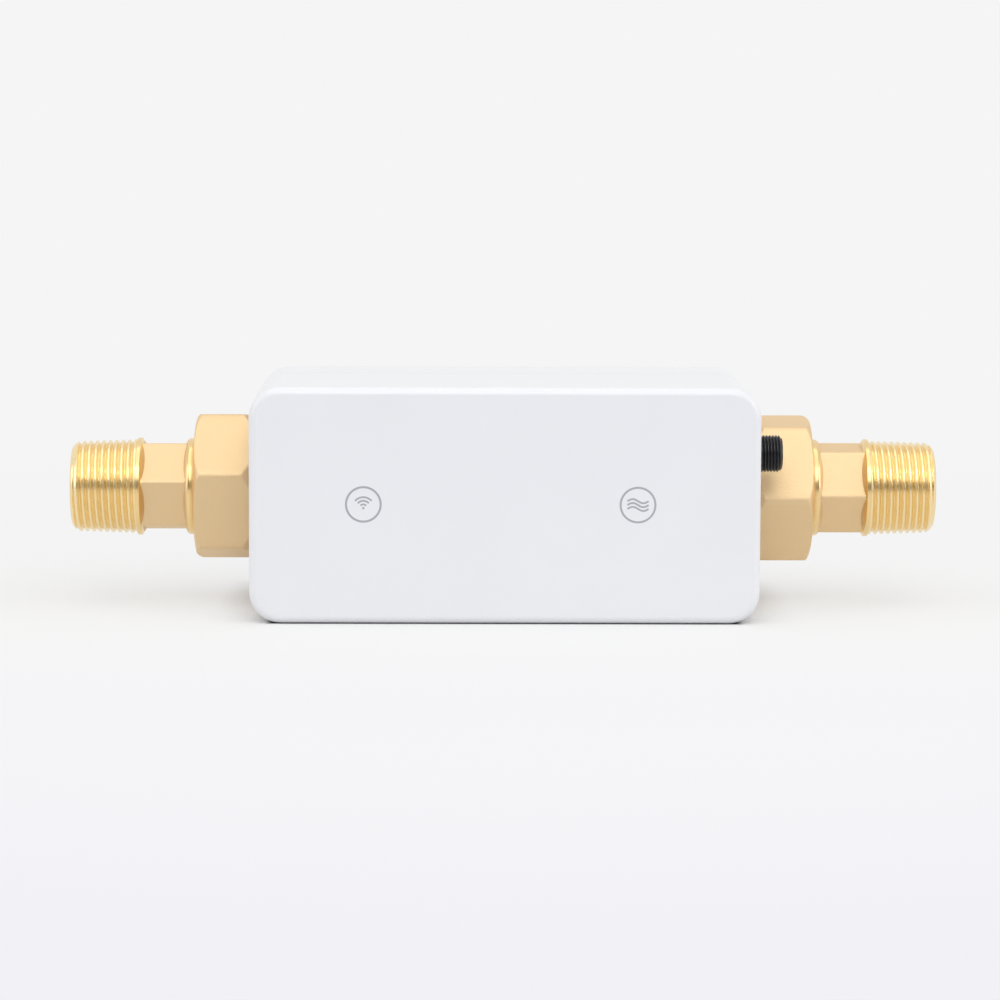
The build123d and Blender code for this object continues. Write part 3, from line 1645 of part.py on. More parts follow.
def make_power_connector():
    """Panel plug: flange flush in the wall, sleeve threaded on both sides, keyed cavity."""
    with BuildPart() as shell:
        with BuildSketch(connector_section):
            Polygon(
                (connector_back_x - connector_barrel_length, 0),
                (connector_back_x - connector_barrel_length, connector_barrel_radius),
                (connector_back_x, connector_barrel_radius),
                (connector_back_x, connector_radius),
                (connector_flange_x, connector_radius),
                (connector_flange_x, connector_flange_radius),
                (end_x, connector_flange_radius),
                (end_x, connector_radius - connector_groove_depth),
                (connector_free_x, connector_radius - connector_groove_depth),
                (connector_free_x, connector_radius),
                (connector_end_x - contact_radius, connector_radius),
                (connector_end_x, connector_radius - contact_radius),
                (connector_end_x, connector_cavity_radius),
                (cavity_x, connector_cavity_radius),
                (cavity_x, 0),
                align=None,
            )
        revolve(axis=connector_axis)
        with BuildSketch(Plane(origin=(cavity_x, connector_y, connector_z), z_dir=(1, 0, 0))):
            with Locations((0, connector_cavity_radius)):
                Rectangle(connector_key_width, connector_key_width)
            Circle(connector_cavity_radius + fit_gap, mode=Mode.INTERSECT)
        extrude(amount=connector_cavity_depth - contact_recess)
        with BuildSketch(Plane(origin=(cavity_x, connector_y, connector_z), z_dir=(1, 0, 0))):
            with PolarLocations(contact_circle_radius, contact_count, start_angle=45):
                Circle(contact_radius + fit_gap)
        extrude(
            amount=-(cavity_x - connector_back_x + connector_barrel_length), mode=Mode.SUBTRACT
        )
    keep(shell, "power_connector")

    contact_start_x = connector_back_x - connector_barrel_length - contact_tail_length
    with BuildPart() as contacts:
        with BuildSketch(
            Plane(origin=(contact_start_x, connector_y, connector_z), z_dir=(1, 0, 0))
        ):
            with PolarLocations(contact_circle_radius, contact_count, start_angle=45):
                Circle(contact_radius)
        extrude(amount=connector_end_x - contact_recess - contact_start_x)
    keep(contacts, "connector_contacts")

    with BuildPart() as seal:
        with BuildSketch(
            Plane(origin=(connector_seat_x + fit_gap, connector_y, connector_z), z_dir=(1, 0, 0))
        ):
            Circle(connector_flange_radius)
            Circle(connector_radius + fit_gap, mode=Mode.SUBTRACT)
        extrude(amount=connector_seal_thickness - 2 * fit_gap)
    keep(seal, "connector_seal")

    with BuildPart() as nut:
        with BuildSketch(
            Plane(
                origin=(end_x - wall - fit_gap, connector_y, connector_z), z_dir=(1, 0, 0)
            )
        ):
            RegularPolygon(connector_nut_across_flats / 2, 6, major_radius=False)
            Circle(connector_radius + fit_gap, mode=Mode.SUBTRACT)
        extrude(amount=-connector_nut_thickness)
    keep(nut, "connector_locknut")


make_power_connector()


def make_leads(routes, name):
    """Insulated wires of round section that follow routes of corners with rounded bends."""
    with BuildPart() as leads:
        for corners in routes:
            with BuildLine() as path:
                FilletPolyline(*corners, radius=lead_bend_radius)
            route = path.wires()[0]
            with BuildSketch(Plane(origin=route @ 0, z_dir=route % 0)):
                Circle(lead_radius)
            sweep(path=route)
    keep(leads, name)


# Power leads: from two of the connector's contacts, over the actuator lid, to the terminals
contact_tail_x = connector_back_x - connector_barrel_length - contact_tail_length
contact_offset = contact_circle_radius * sin(radians(45))
lead_front_y = (lid_front_y + front_inner_y) / 2
terminal_front_y = board_front_y - terminal_thickness
lead_turn_x = contact_tail_x - lead_bend_radius - loose_gap
power_routes = []
for (terminal_x, level), rise in zip(terminal_places, (1, -1)):
    run_y = connector_y - contact_offset
    run_z = connector_z + rise * contact_offset
    power_routes.append(
        [
            (contact_tail_x - fit_gap, run_y, run_z),
            (lead_turn_x, run_y, run_z),
            (lead_turn_x, lead_front_y, run_z),
            (terminal_x, lead_front_y, run_z),
            (terminal_x, lead_front_y, level),
            (terminal_x, terminal_front_y - fit_gap, level),
        ]
    )
make_leads(power_routes, "power_leads")

# Motor leads: from the end cap, behind the motor and over the pipe, to the back of the board
motor_cap_y = motor_back_y + motor_cap_thickness + fit_gap
motor_lead_z = motor_centre[1] - motor_lead_drop
motor_routes = []
for order, side in enumerate((-1, 1)):
    start_x = motor_centre[0] + side * motor_lead_spread / 2
    behind_y = motor_cap_y + motor_lead_behind + order * lead_pitch
    end_board_x = main_board_x + motor_lead_board_offset - order * lead_pitch
    motor_routes.append(
        [
            (start_x, motor_cap_y, motor_lead_z),
            (start_x, behind_y, motor_lead_z),
            (end_board_x, behind_y, motor_lead_z),
            (end_board_x, board_back_y + fit_gap, motor_lead_z),
        ]
    )
make_leads(motor_routes, "motor_leads")

# Pin headers join each sensor board to the board in front of it.
touch_board_back_y = touch_board_front_y + thin_board_thickness
flow_header_z = pipe_z + flow_board_height / 2 - header_edge
flow_header_places = [(flow_pad_x - step * header_pitch, flow_header_z) for step in (0, 1, 2)]
position_header_places = [
    (position_places[0][0], pipe_z + (step - 3 / 2) * header_pitch) for step in (0, 1, 2, 3)
]
with BuildPart() as pin_headers:
    for start_y, end_y, places in (
        (flow_pad_y - thin_board_thickness, board_back_y, flow_header_places),
        (lid_back_y, touch_board_back_y, position_header_places),
    ):
        with BuildSketch(facing_front(start_y)):
            with Locations(*places):
                Circle(header_pin_radius)
        extrude(amount=start_y - end_y)
keep(pin_headers, "pin_headers")

# Flat cable from the touch board back to the main board
ribbon_x = main_board_x + main_board_width / 2 - ribbon_inset
with BuildPart() as ribbon:
    with BuildSketch(facing_front(board_front_y)):
        with Locations((ribbon_x, pipe_z)):
            Rectangle(ribbon_thickness, ribbon_width)
    extrude(amount=board_front_y - touch_board_back_y)
keep(ribbon, "touch_ribbon")
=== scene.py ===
import bpy
import numpy as np
from mathutils import Matrix


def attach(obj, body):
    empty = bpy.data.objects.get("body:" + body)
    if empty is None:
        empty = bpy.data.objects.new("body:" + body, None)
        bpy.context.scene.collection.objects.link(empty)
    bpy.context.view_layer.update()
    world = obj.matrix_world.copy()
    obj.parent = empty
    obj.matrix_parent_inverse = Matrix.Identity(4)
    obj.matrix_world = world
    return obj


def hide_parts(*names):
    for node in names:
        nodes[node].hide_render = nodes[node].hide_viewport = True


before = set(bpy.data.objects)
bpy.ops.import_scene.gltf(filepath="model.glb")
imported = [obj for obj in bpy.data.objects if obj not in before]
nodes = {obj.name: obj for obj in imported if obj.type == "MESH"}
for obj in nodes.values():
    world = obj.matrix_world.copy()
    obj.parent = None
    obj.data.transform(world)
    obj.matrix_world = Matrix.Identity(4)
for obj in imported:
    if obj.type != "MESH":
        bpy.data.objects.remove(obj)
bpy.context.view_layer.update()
MM = 0.001


# Front cover. An injection-moulded shell of white ABS with a glossy face and rounded corners,
# ribbed and bossed inside, that holds the touch board and the main board.

class Wire:
    """A socket in a material's node tree, or the tree alone. Arithmetic on it adds Math nodes."""

    def __init__(self, tree, socket=None):
        self.tree = tree
        self.socket = socket

    def node(self, kind, settings=None, out=0, **sockets):
        """Adds a node: settings first, then values or links on its sockets (s0, s1 or a name)."""
        made = self.tree.nodes.new(kind)
        for name, value in (settings or {}).items():
            setattr(made, name, value)
        for name, value in sockets.items():
            by_number = name[0] == "s" and name[1:].isdigit()
            target = made.inputs[int(name[1:]) if by_number else name.replace("_", " ")]
            if isinstance(value, Wire):
                self.tree.links.new(value.socket, target)
            else:
                target.default_value = value
        return Wire(self.tree, made.outputs[out] if made.outputs else None)

    def math(self, operation, *values):
        return self.node(
            "ShaderNodeMath",
            {"operation": operation},
            **{f"s{i}": value for i, value in enumerate(values)},
        )

    def __add__(self, other):
        return self.math("ADD", self, other)

    def __radd__(self, other):
        return self.math("ADD", other, self)

    def __sub__(self, other):
        return self.math("SUBTRACT", self, other)

    def __rsub__(self, other):
        return self.math("SUBTRACT", other, self)

    def __mul__(self, other):
        return self.math("MULTIPLY", self, other)

    def __rmul__(self, other):
        return self.math("MULTIPLY", other, self)

    def noise(self, scale, detail=2.0):
        """Noise between 0 and 1 over this vector, with its middle near one half."""
        return self.node("ShaderNodeTexNoise", Vector=self, Scale=scale, Detail=detail)

    def smooth_step(self, low, high):
        """0 below low, 1 above high, and a smooth rise between."""
        return self.node(
            "ShaderNodeMapRange",
            {"interpolation_type": "SMOOTHSTEP"},
            Value=self,
            From_Min=low,
            From_Max=high,
        )

    def stretched(self, x, y, z):
        """This vector with its three parts multiplied by x, y and z."""
        return self.node("ShaderNodeVectorMath", {"operation": "MULTIPLY"}, s0=self, s1=(x, y, z))

    def tinted(self, low, high):
        """A colour that runs from low to high as this value runs from 0 to 1."""
        return self.node(
            "ShaderNodeMix",
            {"data_type": "RGBA"},
            out=2,
            s0=self,
            s6=(*low, 1.0),
            s7=(*high, 1.0),
        )


def new_finish(name):
    """An empty material: its tree, its Object coordinates and a function that closes it."""
    material = bpy.data.materials.new(name)
    material.use_nodes = True
    tree = material.node_tree
    tree.nodes.clear()
    start = Wire(tree)
    place = start.node("ShaderNodeTexCoord", out=3)

    def close(height=None, depth=0.0, **sockets):
        """Principled shader from these sockets, with a bump of this depth in metres."""
        if height is not None:
            sockets["Normal"] = start.node("ShaderNodeBump", Height=height, Distance=depth)
        shader = start.node("ShaderNodeBsdfPrincipled", **sockets)
        start.node("ShaderNodeOutputMaterial", Surface=shader)
        return material

    return place, close


def moulded_plastic(name, colour, roughness, grain=0.00001, coat=0.0):
    """Moulded plastic: a faint mottle in its tone and gloss, and a fine orange-peel bump."""
    place, close = new_finish(name)
    mottle = place.noise(35.0)
    peel = place.noise(900.0, 3.0)
    deep = tuple(0.96 * c for c in colour)
    return close(
        peel,
        grain,
        Base_Color=mottle.tinted(deep, colour),
        Roughness=roughness + 0.08 * (mottle - 0.5),
        Coat_Weight=coat,
        Coat_Roughness=0.12,
    )


def dress(material, *names):
    """Gives CAD nodes, which show as they are, this material in each of their material slots."""
    for name in names:
        for holder in nodes[name].material_slots:
            holder.material = material


def even_normals(mesh, degrees):
    """Normal at each face corner: the sum of area times normal over those faces round its vertex
    that turn less than this angle from its own face, so that flat walls stay flat."""
    vertex = np.empty(len(mesh.loops), dtype=np.int32)
    mesh.loops.foreach_get("vertex_index", vertex)
    sides = np.empty(len(mesh.polygons), dtype=np.int32)
    mesh.polygons.foreach_get("loop_total", sides)
    facing = np.empty(len(mesh.polygons) * 3)
    mesh.polygons.foreach_get("normal", facing)
    area = np.empty(len(mesh.polygons))
    mesh.polygons.foreach_get("area", area)
    facing = np.repeat(facing.reshape(-1, 3), sides, axis=0)
    weighted = facing * np.repeat(area, sides)[:, None]
    order = np.argsort(vertex, kind="stable")
    total = weighted.copy()
    for step in range(1, np.bincount(vertex).max()):
        one, other = order[:-step], order[step:]
        met = vertex[one] == vertex[other]
        one, other = one[met], other[met]
        close = (facing[one] * facing[other]).sum(axis=1) > np.cos(np.radians(degrees))
        np.add.at(total, one[close], weighted[other[close]])
        np.add.at(total, other[close], weighted[one[close]])
    total /= np.maximum(np.linalg.norm(total, axis=1), 1e-20)[:, None]
    mesh.shade_smooth()
    mesh.normals_split_custom_set(total.tolist())


def finished_casting(node, body, material, degrees=32.0):
    """A copy of a CAD node with its loose triangles merged, so that its curves shade smoothly. It
    rides on a body and takes the node's place."""
    data = nodes[node].data.copy()
    data.name = node + "_shell"
    piece = bpy.data.objects.new(node + "_shell", data)
    bpy.context.scene.collection.objects.link(piece)
    data.materials.clear()
    data.materials.append(material)
    merge = piece.modifiers.new("merge", "WELD")
    merge.merge_threshold = 0.000002
    graph = bpy.context.evaluated_depsgraph_get()
    welded = bpy.data.meshes.new_from_object(piece.evaluated_get(graph))
    piece.modifiers.clear()
    piece.data = welded
    even_normals(welded, degrees)
    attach(piece, body)
    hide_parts(node)
    return piece


housing_white = (0.755, 0.762, 0.79)
white_plastic = moulded_plastic("white_housing_plastic", housing_white, 0.30, 0.000004, 0.25)
finished_casting("front_cover", "housing", white_plastic)

# Rear cover. The same white plastic, closed onto the front cover at the middle plane of the pipe.
# Its saddles carry the brass body, and four deep counterbores take the screws.

finished_casting("rear_cover", "housing", white_plastic)

# Key symbols. Two pad-printed signs in grey ink over the touch pads: radio waves for the
# connection key, and water waves for the open and close key, each in a thin circle.

face_y = -36.0
ink_height = 0.02
left_key = (-38.1, 32.5)
right_key = (35.8, 32.48)


def grid_mesh(name, points, rows="capped"):
    """Mesh over points[row, column] in millimetres. Columns close into rings. Rows close into a
    torus ("closed"), or each end row is filled to its centre ("capped")."""
    count, width, _ = points.shape
    flat = points.reshape(-1, 3)
    row = np.arange(count if rows == "closed" else count - 1)[:, None]
    column = np.arange(width)[None, :]
    after = (row + 1) % count
    right = (column + 1) % width
    quads = np.stack(
        [row * width + column, row * width + right, after * width + right, after * width + column],
        axis=-1,
    ).reshape(-1, 4)
    faces = quads.tolist()
    if rows == "capped":
        ends = np.stack([points[0].mean(axis=0), points[-1].mean(axis=0)])
        flat = np.vstack([flat, ends])
        turn = np.arange(width)
        follow = (turn + 1) % width
        first = np.stack([np.full(width, len(flat) - 2), follow, turn], axis=-1)
        last_row = (count - 1) * width
        last = np.stack([np.full(width, len(flat) - 1), last_row + turn, last_row + follow], axis=-1)
        faces += first.tolist() + last.tolist()
    return outward_mesh(name, flat * MM, faces)


def outward_mesh(name, corners, faces):
    """Mesh whose faces all point outwards: they are reversed where their signed volume, the sum
    of (a x b) . c over the triangles of each face's fan, is negative."""
    triangles = np.array(
        [(f[0], f[i], f[i + 1]) for f in faces for i in range(1, len(f) - 1)]
    )
    a, b, c = (corners[triangles[:, i]] for i in range(3))
    if np.einsum("ij,ij->i", np.cross(a, b), c).sum() < 0:
        faces = [face[::-1] for face in faces]
    mesh = bpy.data.meshes.new(name)
    mesh.from_pydata(corners.tolist(), [], faces)
    mesh.validate()
    mesh.update()
    return mesh


def placed(name, mesh, body, material, degrees=32.0, stands_for=()):
    """Links a mesh as a piece that rides on a body, material and shading."""
    piece = bpy.data.objects.new(name, mesh)
    bpy.context.scene.collection.objects.link(piece)
    mesh.materials.append(material)
    even_normals(mesh, degrees)
    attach(piece, body)
    if stands_for:
        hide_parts(*stands_for)
    return piece


def joined(name, meshes):
    """One mesh that holds several."""
    corners, faces = [], []
    for mesh in meshes:
        places = np.empty(len(mesh.vertices) * 3)
        mesh.vertices.foreach_get("co", places)
        start = sum(len(part) for part in corners)
        corners.append(places.reshape(-1, 3))
        faces += [[start + i for i in face.vertices] for face in mesh.polygons]
        bpy.data.meshes.remove(mesh)
    whole = bpy.data.meshes.new(name)
    whole.from_pydata(np.vstack(corners).tolist(), [], faces)
    whole.update()
    return whole


def inked_stroke(path, width):
    """A flat stroke of ink: at each point of the path, a box half the width to each side of it,
    measured across the path's direction, standing ink_height proud of the face."""
    ahead = np.gradient(path, axis=0)
    ahead /= np.linalg.norm(ahead, axis=1)[:, None]
    across = np.stack([-ahead[:, 1], ahead[:, 0]], axis=1) * width / 2
    left, right = path + across, path - across
    proud = np.full(len(path), face_y - ink_height)
    sunk = np.full(len(path), face_y + ink_height)
    corners = [(left, proud), (right, proud), (right, sunk), (left, sunk)]
    ring = [np.stack([side[:, 0], depth, side[:, 1]], axis=1) for side, depth in corners]
    return grid_mesh("stroke", np.stack(ring, axis=1))


def inked_circle(centre, radius, width):
    """A ring of ink: a small rectangle carried round the circle x = r cos t, z = r sin t."""
    turn = np.linspace(0, 2 * np.pi, 96, endpoint=False)
    corners = [
        (radius + width / 2, face_y - ink_height),
        (radius - width / 2, face_y - ink_height),
        (radius - width / 2, face_y + ink_height),
        (radius + width / 2, face_y + ink_height),
    ]
    ring = [
        np.stack(
            [centre[0] + r * np.cos(turn), np.full_like(turn, y), centre[1] + r * np.sin(turn)],
            axis=1,
        )
        for r, y in corners
    ]
    return grid_mesh("circle", np.stack(ring, axis=1), rows="closed")


def arc(centre, radius, low, high, count=24):
    """Points of an arc from angle low to high in degrees."""
    turn = np.radians(np.linspace(low, high, count))
    return np.stack([centre[0] + radius * np.cos(turn), centre[1] + radius * np.sin(turn)], axis=1)


def inked_dot(centre, radius):
    """A round dot: the circle x = r cos t, z = r sin t, proud of the face and sunk in it."""
    turn = np.linspace(0, 2 * np.pi, 24, endpoint=False)
    x = centre[0] + radius * np.cos(turn)
    z = centre[1] + radius * np.sin(turn)
    rings = [
        np.stack([x, np.full_like(turn, y), z], axis=1)
        for y in (face_y - ink_height, face_y + ink_height)
    ]
    return grid_mesh("dot", np.stack(rings))


dot_radius, arc_width, wave_width = 0.34, 0.48, 0.50
wave_root = (left_key[0], left_key[1] - 1.0)
left_sign = [inked_circle(left_key, 4.66, 0.57)]
for radius in (1.0, 1.97, 2.95):
    left_sign.append(inked_stroke(arc(wave_root, radius, 41, 139), arc_width))
left_sign.append(inked_dot(wave_root, dot_radius))
half_wave, wave_swell, wave_spacing = 2.85, 0.56, 1.05
right_sign = [inked_circle(right_key, 4.68, 0.55)]
run = np.linspace(-half_wave, half_wave, 40)
for rise in (-wave_spacing, 0.0, wave_spacing):
    swell = wave_swell * np.sin(2 * np.pi * (run + half_wave) / (2 * half_wave))
    path = np.stack([right_key[0] + run, right_key[1] + rise + swell], axis=1)
    right_sign.append(inked_stroke(path, wave_width))


def printed_ink(name, colour):
    """Printing ink: grey with tiny pinholes in its density."""
    place, close = new_finish(name)
    speckle = place.noise(4000.0, 1.0)
    pale = tuple(1.12 * c for c in colour)
    return close(Base_Color=speckle.tinted(colour, pale), Roughness=0.45 + 0.1 * speckle)


ink = printed_ink("grey_key_ink", (0.34, 0.352, 0.378))
placed("radio_key_symbol", joined("radio_key_symbol", left_sign), "housing", ink)
placed("water_key_symbol", joined("water_key_symbol", right_sign), "housing", ink)

# Seals of the housing. Black rubber: cords in the lap joint and a lipped grommet round the pipe at
# each end, moulded with a dull skin.


def moulded_rubber(name, colour):
    """Rubber: near black, matt, with a fine grain and a dusty bloom in patches."""
    place, close = new_finish(name)
    bloom = place.noise(220.0, 4.0)
    grain = place.noise(2600.0, 2.0)
    pale = tuple(c + 0.02 for c in colour)
    return close(
        grain,
        0.00002,
        Base_Color=bloom.tinted(colour, pale),
        Roughness=0.62 + 0.18 * bloom,
        Specular_IOR_Level=0.3,
    )


black_rubber = moulded_rubber("black_seal_rubber", (0.018, 0.018, 0.019))
dress(black_rubber, "cover_seal", "body_seal", "stem_rings", "connector_seal")
finished_casting("inlet_grommet", "housing", black_rubber)
finished_casting("outlet_grommet", "housing", black_rubber)

# Cover screws. Four zinc-plated thread-forming screws with domed heads and cross recesses, deep in
# the rear cover's counterbores.


def turned_metal(name, colour, roughness, axis=(1, 0, 0), lines=2600.0):
    """Turned or drawn metal: hair-fine lines across one axis, in its gloss and its surface."""
    place, close = new_finish(name)
    along = tuple(1.0 if part else 0.02 for part in axis)
    feed = place.stretched(*along).noise(lines, 1.0)
    cloud = place.noise(60.0, 3.0)
    deep = tuple(0.88 * c for c in colour)
    return close(
        feed,
        0.000012,
        Base_Color=cloud.tinted(deep, colour),
        Metallic=1.0,
        Roughness=roughness + 0.12 * (feed - 0.5) + 0.06 * (cloud - 0.5),
    )


zinc = turned_metal("zinc_plated_steel", (0.62, 0.63, 0.64), 0.30, (0, 1, 0))
zinc_nodes = ("turbine_shaft", "snap_ring", "gear_screw", "gear_pins", "lid_screws", "tray_screws")
dress(zinc, *zinc_nodes, "motor_shaft", "motor_screws", "board_screws")
screw_places = [(side * 62.7, 32 + rise * 25.7) for side in (-1, 1) for rise in (-1, 1)]
screw_seat_y = 15.0
screw_length, screw_radius, screw_head_radius = 13.0, 1.45, 2.8
screw_pitch, screw_thread_depth = 1.0, 0.28
head_rim, head_dome = 0.9, 0.75
recess_half_width, recess_reach, recess_depth = 0.36, 1.45, 1.2


def screw_mesh(x, z):
    """Screw along Y: radius against depth for shank, thread and domed head, then the head's top,
    whose depth drops where the cross recess is: |u| or |v| under half its width, inside its reach."""
    turn = np.linspace(0, 2 * np.pi, 72, endpoint=False)
    crown = screw_seat_y + head_rim
    length = np.linspace(0, screw_length, 120)
    phase = (length[:, None] / screw_pitch - turn[None, :] / (2 * np.pi)) % 1.0
    thread = screw_thread_depth * np.abs(phase * 2 - 1)
    taper = np.clip(length / 2.0, 0.25, 1.0)
    shank = (screw_radius - screw_thread_depth + thread) * taper[:, None]
    rows = [(screw_seat_y - screw_length + length[i], shank[i]) for i in range(len(length))]
    head = [(screw_seat_y, screw_head_radius), (crown, screw_head_radius)]
    for angle in np.radians(np.linspace(20, 90, 6)):
        radius = screw_head_radius * (0.55 + 0.45 * np.cos(angle))
        head.append((crown + head_dome * np.sin(angle), radius))
    rows += [(y, np.full_like(turn, radius)) for y, radius in head]
    grid = [
        np.stack([x + r * np.cos(turn), np.full_like(turn, y), z + r * np.sin(turn)], axis=1)
        for y, r in rows
    ]
    for radius in np.linspace(0.55 * screw_head_radius, 0.08, 14):
        u, v = radius * np.cos(turn), radius * np.sin(turn)
        narrow = np.minimum(np.abs(u), np.abs(v)) < recess_half_width
        inside = narrow & (radius < recess_reach)
        slope = recess_depth * np.clip(1.15 - radius / recess_reach, 0.2, 1.0)
        y = crown + head_dome - np.where(inside, slope, 0.0)
        grid.append(np.stack([x + u, y, z + v], axis=1))
    return grid_mesh("screw", np.stack(grid))


placed(
    "cover_screw_set",
    joined("cover_screw_set", [screw_mesh(x, z) for x, z in screw_places]),
    "housing",
    zinc,
    stands_for=("cover_screws",),
)

# Valve body and end piece. Forged brass, machined on the spigots and seats and left satin
# elsewhere, screwed together round the ball.


def forged_brass(name, colour, roughness, grain=0.00005):
    """Forged and blasted brass: a sandy skin with soft dents, brighter on its raised grains."""
    place, close = new_finish(name)
    sand = place.noise(1500.0, 3.0)
    dents = place.noise(160.0, 2.0)
    cloud = place.noise(45.0, 2.0)
    deep = tuple(0.86 * c for c in colour)
    return close(
        sand + 1.5 * dents,
        grain,
        Base_Color=(0.5 * cloud + 0.5 * sand).tinted(deep, colour),
        Metallic=1.0,
        Roughness=roughness + 0.16 * (sand - 0.5) + 0.1 * (cloud - 0.5),
    )


satin_brass = forged_brass("forged_satin_brass", (0.87, 0.655, 0.385), 0.55)
finished_casting("valve_body", "housing", satin_brass)
finished_casting("outlet_end_piece", "housing", satin_brass)

# Ball, stem and seats. A hard-plated ball turns between two white fluoropolymer rings, driven by a
# turned brass stem with two rubber rings.

chrome = turned_metal("hard_plated_ball", (0.78, 0.79, 0.80), 0.12, (1, 0, 0), 900.0)
seat_plastic = moulded_plastic("white_seat_plastic", (0.82, 0.81, 0.77), 0.42)
brass_colour = (0.95, 0.70, 0.33)
turned_brass = turned_metal("turned_brass", brass_colour, 0.22, (1, 0, 0))
stem_brass = turned_metal("turned_stem_brass", brass_colour, 0.26, (0, 1, 0))
finished_casting("ball", "ball_drive", chrome)
dress(seat_plastic, "ball_seats")
dress(stem_brass, "stem")

# Flow turbine. A cartridge of moulded acetal in the inlet half of the body: two vaned guides, a
# bladed rotor with a ring magnet, on a steel shaft.

turbine_blue = moulded_plastic("blue_turbine_plastic", (0.10, 0.20, 0.42), 0.38)
finished_casting("turbine_inlet_guide", "housing", turbine_blue)
finished_casting("turbine_outlet_guide", "housing", turbine_blue)
finished_casting("turbine_rotor", "turbine", seat_plastic)


def sintered_magnet(name):
    """Sintered ferrite: dark grey, slightly sparkling and porous."""
    place, close = new_finish(name)
    pores = place.noise(3000.0, 2.0)
    return close(
        pores,
        0.00002,
        Base_Color=pores.tinted((0.035, 0.035, 0.038), (0.09, 0.09, 0.095)),
        Metallic=0.35,
        Roughness=0.45 + 0.2 * pores,
    )


ferrite = sintered_magnet("ferrite_magnet")
dress(ferrite, "turbine_magnet", "position_magnet", "motor_magnets")

# Tailpieces. Turned from brass bar: a flange that the union nut draws up, a neck with a small bead,
# a satin spanner hexagon, a collar, and a tapered right-hand pipe thread, bright from the cutter
# and chamfered at its end.

cut_brass = turned_metal("cut_thread_brass", (1.0, 0.80, 0.46), 0.25, (1, 0, 0))
pipe_axis = (11.0, 32.0)
thread_pitch, thread_depth = 1.814, 0.9
flange_start, flange_end, flange_radius = 80.5, 83.65, 14.9
neck_radius, bead_middle, bead_radius = 12.9, 87.25, 0.95
hexagon_start, hexagon_end, hexagon_flats = 88.4, 99.8, 23.0
collar_end, collar_radius = 102.4, 13.65
tail_thread_end, tail_end, tail_bore_radius = 119.9, 120.6, 10.0
tail_turn = np.linspace(0, 2 * np.pi, 240, endpoint=False)


def hexagon(across_flats, corner_angle, roundness, turn):
    """Radius of a hexagon at each angle: its faces' distances joined by a high power mean, which
    rounds the corners. corner_angle is the direction of one corner, in degrees."""
    faces = np.radians(corner_angle + 30 + 60 * np.arange(6))
    closeness = np.clip(np.cos(turn[:, None] - faces[None, :]), 0, None)
    return across_flats / 2 / (closeness**roundness).sum(axis=1) ** (1 / roundness)


def round_the_axis(axis, side, stations, turn):
    """Points about an axis along X at axis = (y, z): at each station (distance, radius), x is the
    distance toward side, and the radius times cosine and sine of the turn is added to y and z."""
    rows = []
    for distance, radius in stations:
        radius = np.broadcast_to(radius, turn.shape)
        rows.append(
            np.stack(
                [
                    np.full(turn.shape, side * distance),
                    axis[0] + radius * np.cos(turn),
                    axis[1] + radius * np.sin(turn),
                ],
                axis=1,
            )
        )
    return np.stack(rows)


def thread_wave(distance, turn, pitch):
    """Height, 0 to 1, of a right-hand thread at a distance: a triangle wave that moves one pitch
    in a turn, cut off flat at crest and root."""
    phase = (distance / pitch - turn / (2 * np.pi)) % 1.0
    return np.clip(1.5 * np.abs(2 * phase - 1) - 0.1, 0.0, 1.0)


def tail_stations(side, corner_angle):
    """The tailpiece's closed outline, as pairs of distance and radius, from the flange out along
    its outside, over the end and back through its bore. Cones and minimums chamfer the hexagon, and
    the thread's crest falls 1 mm in radius over 32 mm."""
    turn = side * tail_turn
    hexed = hexagon(hexagon_flats, corner_angle, 90, tail_turn)
    edge = 0.2
    stations = [(flange_start, tail_bore_radius + 0.15), (flange_start, flange_radius - edge)]
    stations += [(flange_start + edge, flange_radius), (flange_end - edge, flange_radius)]
    stations += [(flange_end, flange_radius - edge), (flange_end, neck_radius)]
    stations += [(85.4, neck_radius), (85.7, 13.3)]
    for angle in np.radians(np.linspace(90, 150, 6)):
        bead = (bead_middle - 1.2 * np.cos(angle), 12.6 + bead_radius * np.sin(angle))
        stations.append(bead)
    for step in np.linspace(0, 1, 9):
        corners = np.minimum(hexed, 12.95 + step)
        stations.append((hexagon_start + 0.8 * step, np.maximum(corners, 13.0 - 1.7 * step)))
    stations += [(90.8, hexed), (95.5, hexed), (99.3, hexed)]
    for step in np.linspace(0, 1, 9):
        stations.append((hexagon_end + 1.3 * step, np.maximum(hexed, 11.3 + 2.2 * step)))
    stations += [(101.25, collar_radius), (collar_end - edge, collar_radius)]
    stations += [(collar_end, collar_radius - edge)]
    for distance in np.linspace(collar_end, tail_thread_end, 150):
        crest = 13.15 - (distance - collar_end) / 32.0
        fade = np.clip((distance - collar_end) / 1.2, 0.0, 1.0)
        lead_in = np.clip((tail_thread_end + 0.4 - distance) / 1.5, 0.0, 1.0)
        wave = thread_wave(distance, turn, thread_pitch)
        radius = crest - thread_depth * (1 - wave) * (0.35 + 0.65 * fade)
        stations.append((distance, np.minimum(radius, crest - thread_depth * (1 - lead_in))))
    stations += [(120.25, 11.55), (120.45, 11.3), (tail_end, 11.1), (tail_end, 10.5)]
    stations += [(120.45, 10.2), (120.1, tail_bore_radius), (110.0, tail_bore_radius)]
    stations += [(95.0, tail_bore_radius), (80.8, tail_bore_radius)]
    return stations


